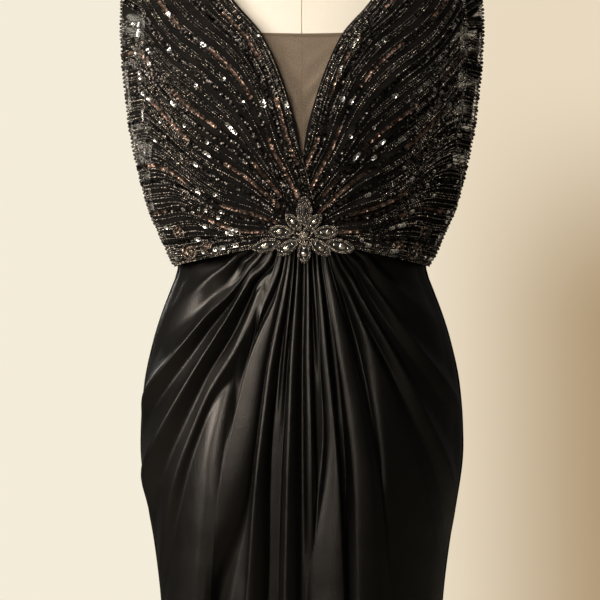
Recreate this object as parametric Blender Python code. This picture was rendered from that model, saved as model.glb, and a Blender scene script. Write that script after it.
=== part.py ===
"""Evening gown on a limbless dress form.

The gown has a beaded net bodice cut in one with its short kimono sleeves, a lining
under it, a net insert in the V neck, a leaf-shaped applique at the waist, and a
floor-length satin skirt whose folds fan out from below the applique. The form has a
covered torso, a neck cap, a pole and a round base plate.

Metres, +Z up. The wearer's right is at -X and the front faces -Y. The origin is the
centre of the base plate's underside.
"""

import math

import bmesh
import bpy
import numpy as np
from mathutils import Matrix, Vector

MM = 0.001
SEAM = 0.3 * MM
HALF_SEAM = 0.2 * MM

# Walls and layers, measured inwards from the outside of the bodice net.
NET_WALL = 1.2 * MM
UNDERLAP = 1.7 * MM
UNDERLAP_EDGE = (20 * MM, 42 * MM)
LINING_DEPTH = 4.0 * MM
LINING_WALL = 1.0 * MM
INSERT_DEPTH = 6.8 * MM
INSERT_WALL = 1.0 * MM
SATIN_WALL = 2.0 * MM

# Heights above the floor.
HEM_HEIGHT = 12 * MM
WAIST_SIDE_HEIGHT = 1.0625
WAIST_FRONT_HEIGHT = 1.0780
BODICE_HEM_HEIGHT = 1.0556
NECK_SIDE_HEIGHT = 1.4438
BACK_NECK_HEIGHT = 1.385
INSERT_TOP_HEIGHT = 1.303
INSERT_LOW_HEIGHT = 1.160
INSERT_MARGIN = 9 * MM
INSERT_SAG = 1.5 * MM

# The armhole is a slit at the side, widest halfway up.
ARMHOLE_LOW_HEIGHT = 1.150
ARMHOLE_TOP_HEIGHT = 1.375
ARMHOLE_HALF_WIDTH = 24 * MM

# The cross-sections are superellipses: 2 is an ellipse, more is squarer.
TORSO_POWER = 2.3
SKIRT_POWER = 2.15

SECTION_COLUMNS = ("height", "half_width", "front", "back")
FORM_SECTIONS = [
    (0.780, 0.146, 0.080, 0.098),
    (0.787, 0.157, 0.091, 0.110),
    (0.800, 0.162, 0.097, 0.117),
    (0.860, 0.166, 0.102, 0.123),
    (0.940, 0.156, 0.100, 0.112),
    (1.000, 0.137, 0.092, 0.094),
    (1.060, 0.121, 0.085, 0.080),
    (1.120, 0.126, 0.097, 0.082),
    (1.160, 0.138, 0.114, 0.086),
    (1.200, 0.148, 0.124, 0.090),
    (1.240, 0.154, 0.1205, 0.096),
    (1.280, 0.159, 0.1090, 0.101),
    (1.320, 0.165, 0.0905, 0.102),
    (1.345, 0.169, 0.0770, 0.096),
    (1.365, 0.172, 0.0650, 0.088),
    (1.385, 0.1725, 0.0530, 0.077),
    (1.397, 0.1700, 0.0450, 0.066),
    (1.4082, 0.1590, 0.0380, 0.057),
    (1.4182, 0.1430, 0.0320, 0.048),
    (1.4282, 0.1240, 0.0270, 0.041),
    (1.4360, 0.1050, 0.0260, 0.037),
    (1.4430, 0.0880, 0.0290, 0.037),
    (1.4530, 0.0730, 0.0340, 0.040),
    (1.4700, 0.0630, 0.0400, 0.043),
    (1.5000, 0.0570, 0.0430, 0.045),
    (1.5300, 0.0560, 0.0440, 0.045),
]
BODICE_SECTIONS = [
    (1.0450, 0.1375, 0.1055, 0.0965),
    (1.0556, 0.1400, 0.1080, 0.0985),
    (1.0678, 0.1465, 0.1130, 0.1020),
    (1.0833, 0.1530, 0.1165, 0.1045),
    (1.1155, 0.1671, 0.1245, 0.1090),
    (1.1600, 0.1798, 0.1330, 0.1125),
    (1.2065, 0.1894, 0.1370, 0.1155),
    (1.2400, 0.1940, 0.1325, 0.1180),
    (1.2676, 0.1976, 0.1240, 0.1190),
    (1.2800, 0.1985, 0.1192, 0.1190),
    (1.3197, 0.2002, 0.1000, 0.1160),
    (1.3450, 0.1990, 0.0860, 0.1090),
    (1.3650, 0.1960, 0.0740, 0.1010),
    (1.3850, 0.1900, 0.0610, 0.0895),
    (1.4020, 0.1800, 0.0500, 0.0755),
    (1.4130, 0.1660, 0.0430, 0.0650),
    (1.4230, 0.1500, 0.0365, 0.0550),
    (1.4330, 0.1320, 0.0310, 0.0450),
    (1.4438, 0.1080, 0.0240, 0.0350),
    (1.4520, 0.0850, 0.0180, 0.0250),
]
SKIRT_SECTIONS = [
    (0.0120, 0.2080, 0.1880, 0.2000),
    (0.1000, 0.1940, 0.1700, 0.1820),
    (0.2000, 0.1770, 0.1500, 0.1610),
    (0.3000, 0.1620, 0.1320, 0.1420),
    (0.4000, 0.1515, 0.1190, 0.1280),
    (0.5000, 0.1475, 0.1110, 0.1210),
    (0.6000, 0.1500, 0.1100, 0.1220),
    (0.6860, 0.1554, 0.1115, 0.1270),
    (0.7540, 0.1636, 0.1135, 0.1320),
    (0.7840, 0.1690, 0.1145, 0.1345),
    (0.8580, 0.1782, 0.1160, 0.1370),
    (0.8830, 0.1776, 0.1160, 0.1350),
    (0.9240, 0.1742, 0.1145, 0.1290),
    (0.9750, 0.1635, 0.1115, 0.1170),
    (1.0050, 0.1541, 0.1090, 0.1100),
    (1.0300, 0.1446, 0.1065, 0.1030),
    (1.0510, 0.1372, 0.1045, 0.0955),
    (1.0625, 0.1360, 0.1045, 0.0940),
    (1.0800, 0.1340, 0.1050, 0.0935),
]

# The V neck's edge, from behind the applique to the shoulder seam. Below nothing it
# has passed to the other side of the centre.
NECKLINE_COLUMNS = ("height", "from_centre")
NECKLINE = [
    (1.1010, -0.0079),
    (1.1150, -0.0140),
    (1.1350, -0.0100),
    (1.1570, -0.0050),
    (1.1745, 0.0015),
    (1.2298, 0.0145),
    (1.2970, 0.0415),
    (1.3360, 0.0722),
    (1.3750, 0.0930),
    (1.4100, 0.1030),
    (NECK_SIDE_HEIGHT, 0.1080),
]

# The bodice is gathered in to a small oval behind the applique, and its grid is closer
# together away from there.
GATHER_X = 0.5 * MM
GATHER_HEIGHT = 1.088
GATHER_HALF_WIDTH = 13 * MM
GATHER_HALF_HEIGHT = 17 * MM
NET_START_DEG = 130
LINING_START_DEG = 86
GATHER_END_DEG = -28
FRONT_CROWDING = 1.35
BACK_CROWDING = 1.6
BACK_RISE = 1.4

# The lining stops short of the armhole's edge, more so between these places across,
# where the sleeve is sheer.
LINING_LEAST_X = 0.5 * MM
LINING_WAIST_SHARE = 0.95
LINING_CROWDING = 1.3
LINING_REACH = 0.988
SHEER_REACH = 0.135
SHEER_STARTS = (0.12, 0.30)
SHEER_ENDS = (0.62, 0.86)

# Each drape line runs from the gathers, at an angle round the waist, down to the side
# seam or the hem. "across" is its place from the centre front, 0, to the waist's
# side, 1. "edge" counts along the hem, 0 to 1, then up the side seam, 1 to 2.
DRAPE_COLUMNS = ("across", "waist_deg", "edge")
DRAPE_LINES = [
    (0.00, 0.0, 0.00),
    (0.18, 3.2, 0.16),
    (0.36, 6.5, 0.34),
    (0.46, 8.5, 1.00),
    (0.54, 10.5, 1.52),
    (0.64, 13.0, 1.672),
    (0.75, 16.5, 1.794),
    (0.84, 20.0, 1.861),
    (0.93, 24.5, 1.955),
    (1.00, 30.0, 2.00),
]
HEM_DRAPE_END = 0.46
SIDE_DRAPE_SPAN = (0.30, 0.54)
FALLING_CROWDING = 2.2
SIDE_RISE = 0.62

# The grid's column at each of these places across, which puts one on the hem's corner.
DRAPE_STEPS = [(0, 0.0), (17, 0.36), (26, HEM_DRAPE_END), (43, 1.0)]

# The skirt's folds, each along a drape line: its ridge, how far it reaches to either
# side, and its height in millimetres at the gathers, halfway and at the end.
FOLD_COLUMNS = ("across", "inner_reach", "outer_reach", "top_mm", "middle_mm", "end_mm")
FOLDS_RIGHT = [
    (0.030, 0.040, 0.045, 4.0, 8.0, 12.0),
    (0.135, 0.062, 0.060, 4.5, 11.0, 13.0),
    (0.270, 0.065, 0.072, 4.5, 11.5, 12.0),
    (0.405, 0.060, 0.080, 4.0, 8.5, 10.0),
    (0.530, 0.065, 0.070, 4.5, 8.5, 5.0),
    (0.640, 0.055, 0.065, 4.5, 8.0, 3.5),
    (0.750, 0.050, 0.065, 4.5, 7.5, 3.0),
    (0.845, 0.045, 0.055, 4.0, 6.5, 2.5),
    (0.935, 0.042, 0.040, 3.0, 4.5, 1.5),
]
FOLDS_LEFT = [
    (0.055, 0.060, 0.055, 4.0, 9.5, 12.0),
    (0.165, 0.050, 0.055, 4.5, 8.0, 9.0),
    (0.285, 0.065, 0.060, 4.5, 11.5, 13.0),
    (0.405, 0.055, 0.085, 4.5, 9.0, 10.0),
    (0.530, 0.065, 0.070, 4.5, 9.5, 5.0),
    (0.640, 0.055, 0.060, 4.5, 8.5, 4.0),
    (0.750, 0.050, 0.060, 4.5, 8.5, 3.5),
    (0.845, 0.045, 0.055, 4.0, 7.5, 3.0),
    (0.935, 0.042, 0.040, 3.0, 5.5, 2.0),
]
FLARE_COLUMNS = ("degrees", "reach_deg", "height_mm")
SIDE_FLARES = [
    (46, 12, 9.0),
    (69, 13, 8.0),
]
FLARE_TOP_HEIGHT = 0.62
SKIRT_CROWDING = 1.35
SIDE_SEAM_CALM_DEG = 72
SIDE_SEAM_CALM = 0.9

# Each back has deep waves that open towards the hem, and shallow folds over the seat.
BACK_WAVES = 3
BACK_WAVE_DEPTH = 11 * MM
BACK_WAVE_SPAN = (0.05, 0.80)
SEAT_FOLDS = 2
SEAT_FOLD_DEPTH = 2 * MM
SEAT_FOLD_STARTS = (0.55, 0.85)
SEAT_FOLD_ENDS = (1.00, 1.06)
BACK_SKIRT_CROWDING = 1.25

# The soft pleats of each front, drawn in to the applique: place from the neckline, 0,
# to the waist, 1, with reach and height. They rise and fade along these spans.
PLEAT_COLUMNS = ("across", "reach", "height_mm")
PLEATS = [
    (0.11, 0.060, 2.0),
    (0.26, 0.065, 2.8),
    (0.42, 0.070, 2.4),
    (0.57, 0.065, 3.0),
    (0.72, 0.060, 2.6),
    (0.86, 0.055, 2.2),
]
PLEAT_RISE = (0.02, 0.22)
PLEAT_FADE = (0.35, 0.85)

# Grid steps of each cloth panel.
FRONT_ACROSS, FRONT_ALONG = 24, 13
BACK_ACROSS, BACK_ALONG = 10, 12
LINING_ACROSS, LINING_ALONG = 10, 10
LINING_BACK_ACROSS = 7
INSERT_ACROSS, INSERT_ALONG = 8, 6
SKIRT_ACROSS, SKIRT_ALONG = 43, 13
SKIRT_BACK_ACROSS, SKIRT_BACK_ALONG = 12, 15

# The applique lies in a plane that leans back with the bodice under it.
APPLIQUE_CENTRE_X = 1.5 * MM
APPLIQUE_HEIGHT = 1.0858
APPLIQUE_LEAN = math.radians(13)
APPLIQUE_CLEARANCE = 1.0 * MM
BACKING_THICKNESS = 0.9 * MM
BACKING_NOTCH = 0.55
LEAF_POINTS = 10
LEAF_TIP_POWER = 1.35
LEAF_COLUMNS = ("name", "x_mm", "y_mm", "length_mm", "width_mm", "points_deg")
LEAVES = [
    ("top", 0.8, 26.6, 28.0, 14.4, 90),
    ("upper_left", -10.6, 14.3, 20.6, 9.8, 132),
    ("upper_right", 11.0, 14.3, 20.6, 9.8, 48),
    ("inner_left", -24.0, 4.2, 23.0, 12.2, 176),
    ("inner_right", 24.0, 3.9, 23.0, 12.2, 3),
    ("outer_left", -38.6, -10.4, 28.5, 12.8, 194),
    ("outer_right", 38.4, -10.9, 28.5, 12.8, 345),
    ("lower_left", -16.6, -12.4, 25.0, 11.6, 217),
    ("lower_right", 17.2, -12.6, 25.0, 11.6, 323),
    ("bottom", 0.6, -18.0, 21.0, 12.2, 270),
]

# Each row is a ring of a leaf: its share of the length and of the width, and its rise
# in millimetres. The dip is the groove inside the beaded rim.
LEAF_SECTIONS = [
    (1.00, 1.00, 0.0),
    (1.00, 1.00, 1.6),
    (0.86, 0.78, 2.4),
    (0.66, 0.55, 1.6),
    (0.54, 0.44, 2.7),
    (0.20, 0.15, 3.7),
]
BOSS_RADIUS = 4.2 * MM
BOSS_SIDES = 12

# The boss in the same way: share of the radius, and rise in millimetres.
BOSS_SECTIONS = [(1.0, 0.0), (1.0, 1.8), (0.74, 2.9), (0.60, 2.2), (0.46, 3.4), (0.14, 4.4)]

# The centre-back zip, its slider with a bridge, and the pull that turns on it.
ZIP_TOP_HEIGHT = 1.376
ZIP_LOW_HEIGHT = 0.900
ZIP_WIDTH = 20 * MM
ZIP_THICKNESS = 0.8 * MM
ZIP_STEPS = 18
ZIP_DEPTH = 0.9 * MM
ZIP_HIP_DEPTH = 1.0 * MM
ZIP_SHOULDER_DEPTH = 1.4 * MM
ZIP_SHOULDER_SPAN = (1.26, 1.35)
ZIP_WAIST_REACH = 15 * MM
ZIP_BEND = 0.8 * MM
SLIDER_HEIGHT = 1.366
SLIDER_CLEARANCE = 0.2 * MM
SLIDER_HALF_WIDTH = 2.5 * MM
SLIDER_HALF_LENGTH = 4.0 * MM
SLIDER_PLATE = 1.6 * MM
BRIDGE_HALF_WIDTH = 0.7 * MM
BRIDGE_HALF_LENGTH = 3.6 * MM
BRIDGE_LEG = 1.2 * MM
BRIDGE_ROOM = 1.9 * MM
BRIDGE_TOP = 1.0 * MM
PULL_AXIS = SLIDER_PLATE + BRIDGE_ROOM / 2
PULL_THICKNESS = 0.8 * MM
PULL_LENGTH = 17 * MM
PULL_HALF_WIDTH = 2.1 * MM
PULL_TIP_HALF_WIDTH = 1.5 * MM
PULL_TIP_BEVEL = 1.5 * MM
EYE_HALF_WIDTH = BRIDGE_HALF_WIDTH + 0.4 * MM
EYE_LENGTH = 4.6 * MM
EYE_RIM = 2 * MM

# The stand.
BASE_RADIUS = 168 * MM
BASE_THICKNESS = 11 * MM
BASE_BEVEL = 4 * MM
BASE_SIDES = 40
TORSO_SIDES = 28
TURNED_SIDES = 20

# Profiles as radius and height, in millimetres: up from the torso's top, up from the
# base plate, and up or down from the torso's underside.
CAP_PROFILE = [
    (44, 0),
    (47, 3),
    (47, 8),
    (39, 14),
    (12, 18),
    (8, 24),
    (12, 32),
    (9, 40),
    (3, 43),
]
POLE_FOOT_PROFILE = [(34, 0), (32, 5), (18, 16), (14, 34)]
POLE_TOP_PROFILE = [(14, -30), (19, -22), (38, -6), (40, 0)]


def column(table, columns, name):
    place = columns.index(name)
    return np.array([row[place] for row in table], float)


def smooth(at, places, values):
    """A curve through the table's points that never overshoots between them."""
    at = np.clip(np.asarray(at, float), places[0], places[-1])
    steps = np.diff(places)
    slopes = np.diff(values) / steps
    before, after = slopes[:-1], slopes[1:]
    same = before * after > 0
    near = 2 * steps[1:] + steps[:-1]
    far = steps[1:] + 2 * steps[:-1]
    mean = (near + far) / (near / np.where(same, before, 1) + far / np.where(same, after, 1))
    tangents = np.concatenate([slopes[:1], np.where(same, mean, 0), slopes[-1:]])
    cell = np.clip(np.searchsorted(places, at, side="right") - 1, 0, len(steps) - 1)
    step = steps[cell]
    t = (at - places[cell]) / step
    return (
        (1 + 2 * t) * (1 - t) ** 2 * values[cell]
        + t * (1 - t) ** 2 * step * tangents[cell]
        + t * t * (3 - 2 * t) * values[cell + 1]
        + t * t * (t - 1) * step * tangents[cell + 1]
    )


def section(table, name, height):
    heights = column(table, SECTION_COLUMNS, "height")
    return smooth(height, heights, column(table, SECTION_COLUMNS, name))


def ease(at, start, end):
    """0 before start, 1 after end, and a soft step between them."""
    t = np.clip((at - start) / (end - start), 0, 1)
    return t * t * (3 - 2 * t)


# Surfaces


def depth_at(table, x, height, side, power):
    """The y of the surface in front of the axis, side -1, or behind it, side 1."""
    half_width = section(table, "half_width", height)
    reach = section(table, "front" if side < 0 else "back", height)
    share = np.clip(np.abs(x) / half_width, 0, 1)
    return side * reach * (1 - share**power) ** (1 / power)


def outward(table, points, power):
    """The outward direction of a stack of superellipses at each point."""
    x, y, height = points[..., 0], points[..., 1], points[..., 2]
    step = 0.5 * MM

    def sizes(at):
        reach = np.where(y < 0, section(table, "front", at), section(table, "back", at))
        return section(table, "half_width", at), reach

    half_width, reach = sizes(height)
    (low_width, low_reach), (high_width, high_reach) = sizes(height - step), sizes(height + step)
    width_slope = (high_width - low_width) / (2 * step)
    reach_slope = (high_reach - low_reach) / (2 * step)
    u = np.clip(np.abs(x) / half_width, 0, 1)
    v = np.clip(np.abs(y) / reach, 0, 1)
    direction = np.stack(
        [
            np.sign(x) * u ** (power - 1) / half_width,
            np.sign(y) * v ** (power - 1) / reach,
            -(u**power) * width_slope / half_width - v**power * reach_slope / reach,
        ],
        axis=-1,
    )
    return direction / np.linalg.norm(direction, axis=-1, keepdims=True)


def ridges(table, columns, reach_names, across, heights):
    """The tallest of the table's rounded ridges at each place across a panel."""
    total = np.zeros(np.shape(across))
    for row, height in zip(table, heights):
        offset = across - row[0]
        inner, outer = (row[columns.index(name)] for name in reach_names)
        t = np.clip(np.where(offset < 0, -offset / inner, offset / outer), 0, 1)
        total = np.maximum(total, np.cos(t * math.pi / 2) ** 1.5 * height)
    return total


def panel_grid(across_steps, along_steps):
    across = np.linspace(0, 1, across_steps + 1)[:, None]
    along = np.linspace(0, 1, along_steps + 1)[None, :]
    return np.broadcast_arrays(across, along)


def crowded(share, power):
    """The same steps, closer together towards 1."""
    return 1 - (1 - share) ** power


def mirrored(pair):
    """The same panel on the wearer's other side."""
    return [grid * np.array([-1, 1, 1]) for grid in pair]


# Bodice


def side_height(share):
    """Heights down the outline from the neck side, 0, over the shoulder to the hem, 1."""
    heights = np.linspace(NECK_SIDE_HEIGHT, BODICE_HEM_HEIGHT, 400)
    widths = section(BODICE_SECTIONS, "half_width", heights)
    run = np.concatenate([[0], np.cumsum(np.hypot(np.diff(heights), np.diff(widths)))])
    return np.interp(share, run / run[-1], heights)


def side_gap(height):
    """How far each edge stands from the side plane: a seam, or the open armhole."""
    middle = (ARMHOLE_LOW_HEIGHT + ARMHOLE_TOP_HEIGHT) / 2
    half = (ARMHOLE_TOP_HEIGHT - ARMHOLE_LOW_HEIGHT) / 2
    t = np.clip(np.abs(height - middle) / half, 0, 1)
    return HALF_SEAM + ARMHOLE_HALF_WIDTH * (1 - t**2) ** 1.2


def side_x(height, side):
    """Where the bodice surface comes within the gap of the side plane."""
    half_width = section(BODICE_SECTIONS, "half_width", height)
    reach = section(BODICE_SECTIONS, "front" if side < 0 else "back", height)
    share = np.clip(side_gap(height) / reach, 0, 1)
    return half_width * (1 - share**TORSO_POWER) ** (1 / TORSO_POWER)


def front_lines(across, along, start_deg, least_x):
    """x and height on a front: across 0 is the neckline and 1 the waist edge.

    along 0 is behind the applique, and 1 the shoulder and the side. start_deg is where
    the neckline leaves the gathered oval, and least_x how near the centre it may come.
    """
    turn = np.radians(start_deg + (GATHER_END_DEG - start_deg) * across)
    start_x = GATHER_X + GATHER_HALF_WIDTH * np.cos(turn)
    start_z = GATHER_HEIGHT + GATHER_HALF_HEIGHT * np.sin(turn)
    end_z = side_height(across)
    end_x = side_x(end_z, -1)
    neck_heights = column(NECKLINE, NECKLINE_COLUMNS, "height")
    neck_places = np.maximum(column(NECKLINE, NECKLINE_COLUMNS, "from_centre"), least_x)
    neck_z = neck_heights[0] + (neck_heights[-1] - neck_heights[0]) * along
    straight = neck_places[0] + (neck_places[-1] - neck_places[0]) * along
    bulge = smooth(neck_z, neck_heights, neck_places) - straight
    x = start_x + (end_x - start_x) * along + bulge * (1 - across) ** 3
    return x, start_z + (end_z - start_z) * along


def bodice_points(x, z, side, moved_in):
    """Points on the bodice, moved inwards along its surface's own direction."""
    y = depth_at(BODICE_SECTIONS, x, z, side, TORSO_POWER)
    y = side * np.maximum(np.abs(y), HALF_SEAM)
    points = np.stack([x, y, z], axis=-1)
    normals = outward(BODICE_SECTIONS, points, TORSO_POWER)
    at_seam = np.abs(y) < 2 * MM
    normals[..., 1] = np.where(at_seam, 0, normals[..., 1])
    normals /= np.linalg.norm(normals, axis=-1, keepdims=True)
    return points - normals * np.broadcast_to(moved_in, x.shape)[..., None]


def front_panel(under):
    """A front's outer and inner points; under is for the one that lies beneath."""
    across, along = panel_grid(FRONT_ACROSS, FRONT_ALONG)
    along = crowded(along, FRONT_CROWDING)
    x, z = front_lines(across, along, NET_START_DEG, NECKLINE[1][1])
    heights = column(PLEATS, PLEAT_COLUMNS, "height_mm") * MM
    pleats = ridges(PLEATS, PLEAT_COLUMNS, ("reach", "reach"), across, heights)
    lift = pleats * ease(along, *PLEAT_RISE) * (1 - ease(along, *PLEAT_FADE))
    if under:
        clear = ease(x, *UNDERLAP_EDGE)
        lift = lift * clear - UNDERLAP * (1 - clear)
    return bodice_points(x, z, -1, -lift), bodice_points(x, z, -1, NET_WALL - lift)


def back_lines(across, along):
    """x and height on a back: across 0 is the centre back, and along 1 the neckline."""
    end_z = side_height(1 - along)
    centre_z = BODICE_HEM_HEIGHT + (BACK_NECK_HEIGHT - BODICE_HEM_HEIGHT) * along
    x = HALF_SEAM + (side_x(end_z, 1) - HALF_SEAM) * across
    return x, centre_z + (end_z - centre_z) * across**BACK_RISE


def back_panel():
    across, along = panel_grid(BACK_ACROSS, BACK_ALONG)
    x, z = back_lines(crowded(across, BACK_CROWDING), along)
    return bodice_points(x, z, 1, 0), bodice_points(x, z, 1, NET_WALL)


def lining_share(across):
    """How far along each line the lining goes before the sheer sleeve begins."""
    sheer = ease(across, *SHEER_STARTS) * (1 - ease(across, *SHEER_ENDS))
    return LINING_REACH - SHEER_REACH * sheer


def lining_front():
    across, along = panel_grid(LINING_ACROSS, LINING_ALONG)
    across = across * LINING_WAIST_SHARE
    along = crowded(along, LINING_CROWDING) * lining_share(across)
    x, z = front_lines(across, along, LINING_START_DEG, LINING_LEAST_X)
    inner = LINING_DEPTH + LINING_WALL
    return bodice_points(x, z, -1, LINING_DEPTH), bodice_points(x, z, -1, inner)


def lining_back():
    across, along = panel_grid(LINING_BACK_ACROSS, LINING_ALONG)
    along = 1 - LINING_WAIST_SHARE * (1 - along)
    x, z = back_lines(crowded(across, BACK_CROWDING) * lining_share(1 - along), along)
    inner = LINING_DEPTH + LINING_WALL
    return bodice_points(x, z, 1, LINING_DEPTH), bodice_points(x, z, 1, inner)


def neck_insert():
    """The net that fills the V neck and lies under the edges of both linings."""
    across, along = panel_grid(INSERT_ACROSS, INSERT_ALONG)
    across = 2 * across - 1
    z = INSERT_LOW_HEIGHT + (INSERT_TOP_HEIGHT - INSERT_LOW_HEIGHT) * along
    heights = column(NECKLINE, NECKLINE_COLUMNS, "height")
    half = smooth(z, heights, column(NECKLINE, NECKLINE_COLUMNS, "from_centre")) + INSERT_MARGIN
    sag = INSERT_SAG * along**2 * (1 - across**2)
    inner = INSERT_DEPTH + INSERT_WALL
    return [bodice_points(half * across, z - sag, -1, depth) for depth in (INSERT_DEPTH, inner)]


# Skirt


def skirt_points(theta, z, moved_out):
    """Points round the skirt: theta 0 is the front, and 90 degrees the side seam."""
    power = 2 / SKIRT_POWER
    half_width = section(SKIRT_SECTIONS, "half_width", z)
    front, back = section(SKIRT_SECTIONS, "front", z), section(SKIRT_SECTIONS, "back", z)
    reach = np.where(np.cos(theta) >= 0, front, back)
    x = half_width * np.sign(np.sin(theta)) * np.abs(np.sin(theta)) ** power
    y = -reach * np.sign(np.cos(theta)) * np.abs(np.cos(theta)) ** power
    points = np.stack([x, y, z], axis=-1)
    normals = outward(SKIRT_SECTIONS, points, SKIRT_POWER)
    return points + normals * moved_out[..., None]


def drape_lines(across, along):
    """The angle and height of a point on half of the skirt's front."""
    places = column(DRAPE_LINES, DRAPE_COLUMNS, "across")
    start = np.radians(smooth(across, places, column(DRAPE_LINES, DRAPE_COLUMNS, "waist_deg")))
    edge = smooth(across, places, column(DRAPE_LINES, DRAPE_COLUMNS, "edge"))
    end = np.minimum(edge, 1) * math.pi / 2
    end_z = HEM_HEIGHT + (WAIST_SIDE_HEIGHT - HEM_HEIGHT) * np.maximum(edge - 1, 0)
    falling = crowded(along, FALLING_CROWDING)
    turning = SIDE_RISE * along + (1 - SIDE_RISE) * along**4
    to_side = ease(across, *SIDE_DRAPE_SPAN)
    share = falling + (turning - falling) * to_side
    waist_drop = (WAIST_FRONT_HEIGHT - WAIST_SIDE_HEIGHT) * ease(across, 0.5, 1.0)
    start_z = WAIST_FRONT_HEIGHT - waist_drop
    return start + (end - start) * share, start_z + (end_z - start_z) * along


def fold_height(table, across, along):
    top, middle, end = (
        column(table, FOLD_COLUMNS, name)[:, None, None] * MM
        for name in ("top_mm", "middle_mm", "end_mm")
    )
    rising = top + (middle - top) * ease(along, 0.0, 0.30)
    heights = rising + (end - middle) * ease(along, 0.55, 1.0)
    return ridges(table, FOLD_COLUMNS, ("inner_reach", "outer_reach"), across, heights)


def flare_height(theta, z):
    """The short waves near the side of the hem, which the drape lines don't reach."""
    heights = column(SIDE_FLARES, FLARE_COLUMNS, "height_mm") * MM
    reach = ("reach_deg", "reach_deg")
    waves = ridges(SIDE_FLARES, FLARE_COLUMNS, reach, np.degrees(theta), heights)
    return waves * (1 - ease(z, HEM_HEIGHT, FLARE_TOP_HEIGHT))


def half_skirt_front(table):
    """Outer and inner points from the centre front to the side seam at +X."""
    across, along = panel_grid(SKIRT_ACROSS, SKIRT_ALONG)
    steps, places = zip(*DRAPE_STEPS)
    across = np.interp(across * SKIRT_ACROSS, steps, places)
    along = along**SKIRT_CROWDING
    theta, z = drape_lines(across, along)
    at_side = ease(np.degrees(theta), SIDE_SEAM_CALM_DEG, 90)
    relief = np.maximum(fold_height(table, across, along), flare_height(theta, z))
    relief = relief * (1 - SIDE_SEAM_CALM * at_side)
    pair = []
    for moved in (relief, relief - SATIN_WALL):
        points = skirt_points(theta, z, moved)
        points[..., 1] = np.minimum(points[..., 1], -HALF_SEAM)
        pair.append(points)
    return pair


def skirt_front():
    """Both halves, meeting at the centre front in one grid."""
    right = half_skirt_front(FOLDS_RIGHT)
    left = mirrored(half_skirt_front(FOLDS_LEFT))
    return [
        np.concatenate([l[:0:-1], (l[:1] + r[:1]) / 2, r[1:]]) for l, r in zip(left, right)
    ]


def skirt_back():
    """One back, from the side seam at +X to the centre back, in soft upright folds."""
    across, along = panel_grid(SKIRT_BACK_ACROSS, SKIRT_BACK_ALONG)
    theta = math.pi / 2 * (1 + across)
    z = WAIST_SIDE_HEIGHT + (HEM_HEIGHT - WAIST_SIDE_HEIGHT) * along**BACK_SKIRT_CROWDING
    waves = BACK_WAVE_DEPTH * (0.5 - 0.5 * np.cos(across * 2 * math.pi * BACK_WAVES))
    folds = SEAT_FOLD_DEPTH * (0.5 - 0.5 * np.cos(across * 2 * math.pi * SEAT_FOLDS))
    low = 1 - ease(z, *BACK_WAVE_SPAN)
    seat = ease(z, *SEAT_FOLD_STARTS) * (1 - ease(z, *SEAT_FOLD_ENDS))
    relief = waves * low + folds * seat
    pair = []
    for moved in (relief, relief - SATIN_WALL):
        points = skirt_points(theta, z, moved)
        points[..., :2] = np.maximum(points[..., :2], HALF_SEAM)
        pair.append(points)
    return pair


# Meshes


def material(name, colour, roughness, metallic=0.0):
    made = bpy.data.materials.new(name)
    made.use_nodes = True
    shader = made.node_tree.nodes["Principled BSDF"]
    shader.inputs["Base Color"].default_value = (*colour, 1)
    shader.inputs["Roughness"].default_value = roughness
    shader.inputs["Metallic"].default_value = metallic
    return made


def add_object(name, shape, finish, place=Matrix()):
    """An object from a filled bmesh, with its faces turned outwards."""
    bmesh.ops.recalc_face_normals(shape, faces=shape.faces)
    mesh = bpy.data.meshes.new(name)
    shape.to_mesh(mesh)
    shape.free()
    if finish is not None:
        mesh.materials.append(finish)
    mesh.shade_smooth()
    mesh.set_sharp_from_angle(angle=math.radians(40))
    made = bpy.data.objects.new(name, mesh)
    bpy.context.scene.collection.objects.link(made)
    made.matrix_world = place
    return made


def add_cloth(name, pair, finish):
    """A closed wall between an outer and an inner grid of points."""
    shape = bmesh.new()
    outer, inner = ([[shape.verts.new(p) for p in row] for row in grid] for grid in pair)
    last, end = len(outer) - 1, len(outer[0]) - 1
    for i in range(last):
        for j in range(end):
            for grid in (outer, inner):
                shape.faces.new((grid[i][j], grid[i + 1][j], grid[i + 1][j + 1], grid[i][j + 1]))
        for j in (0, end):
            shape.faces.new((outer[i][j], outer[i + 1][j], inner[i + 1][j], inner[i][j]))
    for j in range(end):
        for i in (0, last):
            shape.faces.new((outer[i][j], outer[i][j + 1], inner[i][j + 1], inner[i][j]))
    return add_object(name, shape, finish)


def add_stack(name, rings, finish, place=Matrix()):
    """A closed solid through rings of equal count, with both ends filled."""
    shape = bmesh.new()
    made = [[shape.verts.new(p) for p in ring] for ring in rings]
    count = len(made[0])
    for low, high in zip(made, made[1:]):
        for i in range(count):
            j = (i + 1) % count
            shape.faces.new((low[i], low[j], high[j], high[i]))
    shape.faces.new(made[0])
    shape.faces.new(made[-1])
    return add_object(name, shape, finish, place)


def ring(radius, height, sides):
    angles = np.linspace(0, 2 * math.pi, sides, endpoint=False)
    return [(radius * math.cos(a), radius * math.sin(a), height) for a in angles]


def add_turned(name, profile, finish, sides):
    """A solid of revolution about Z from (radius, height) pairs, low to high."""
    return add_stack(name, [ring(radius, height, sides) for radius, height in profile], finish)


def add_prism(name, outline, half_width, finish, place):
    """A solid with the same (y, z) outline at each side of local x = 0."""
    rings = [[(x, y, z) for y, z in outline] for x in (-half_width, half_width)]
    return add_stack(name, rings, finish, place)


def combine(target, tool, operation):
    """Adds the tool to the target, or cuts it away, and leaves the tool as a guide."""
    tool.hide_render = True
    tool.display_type = "WIRE"
    joining = target.modifiers.new(tool.name, "BOOLEAN")
    joining.operation = operation
    joining.object = tool


# The form


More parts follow.
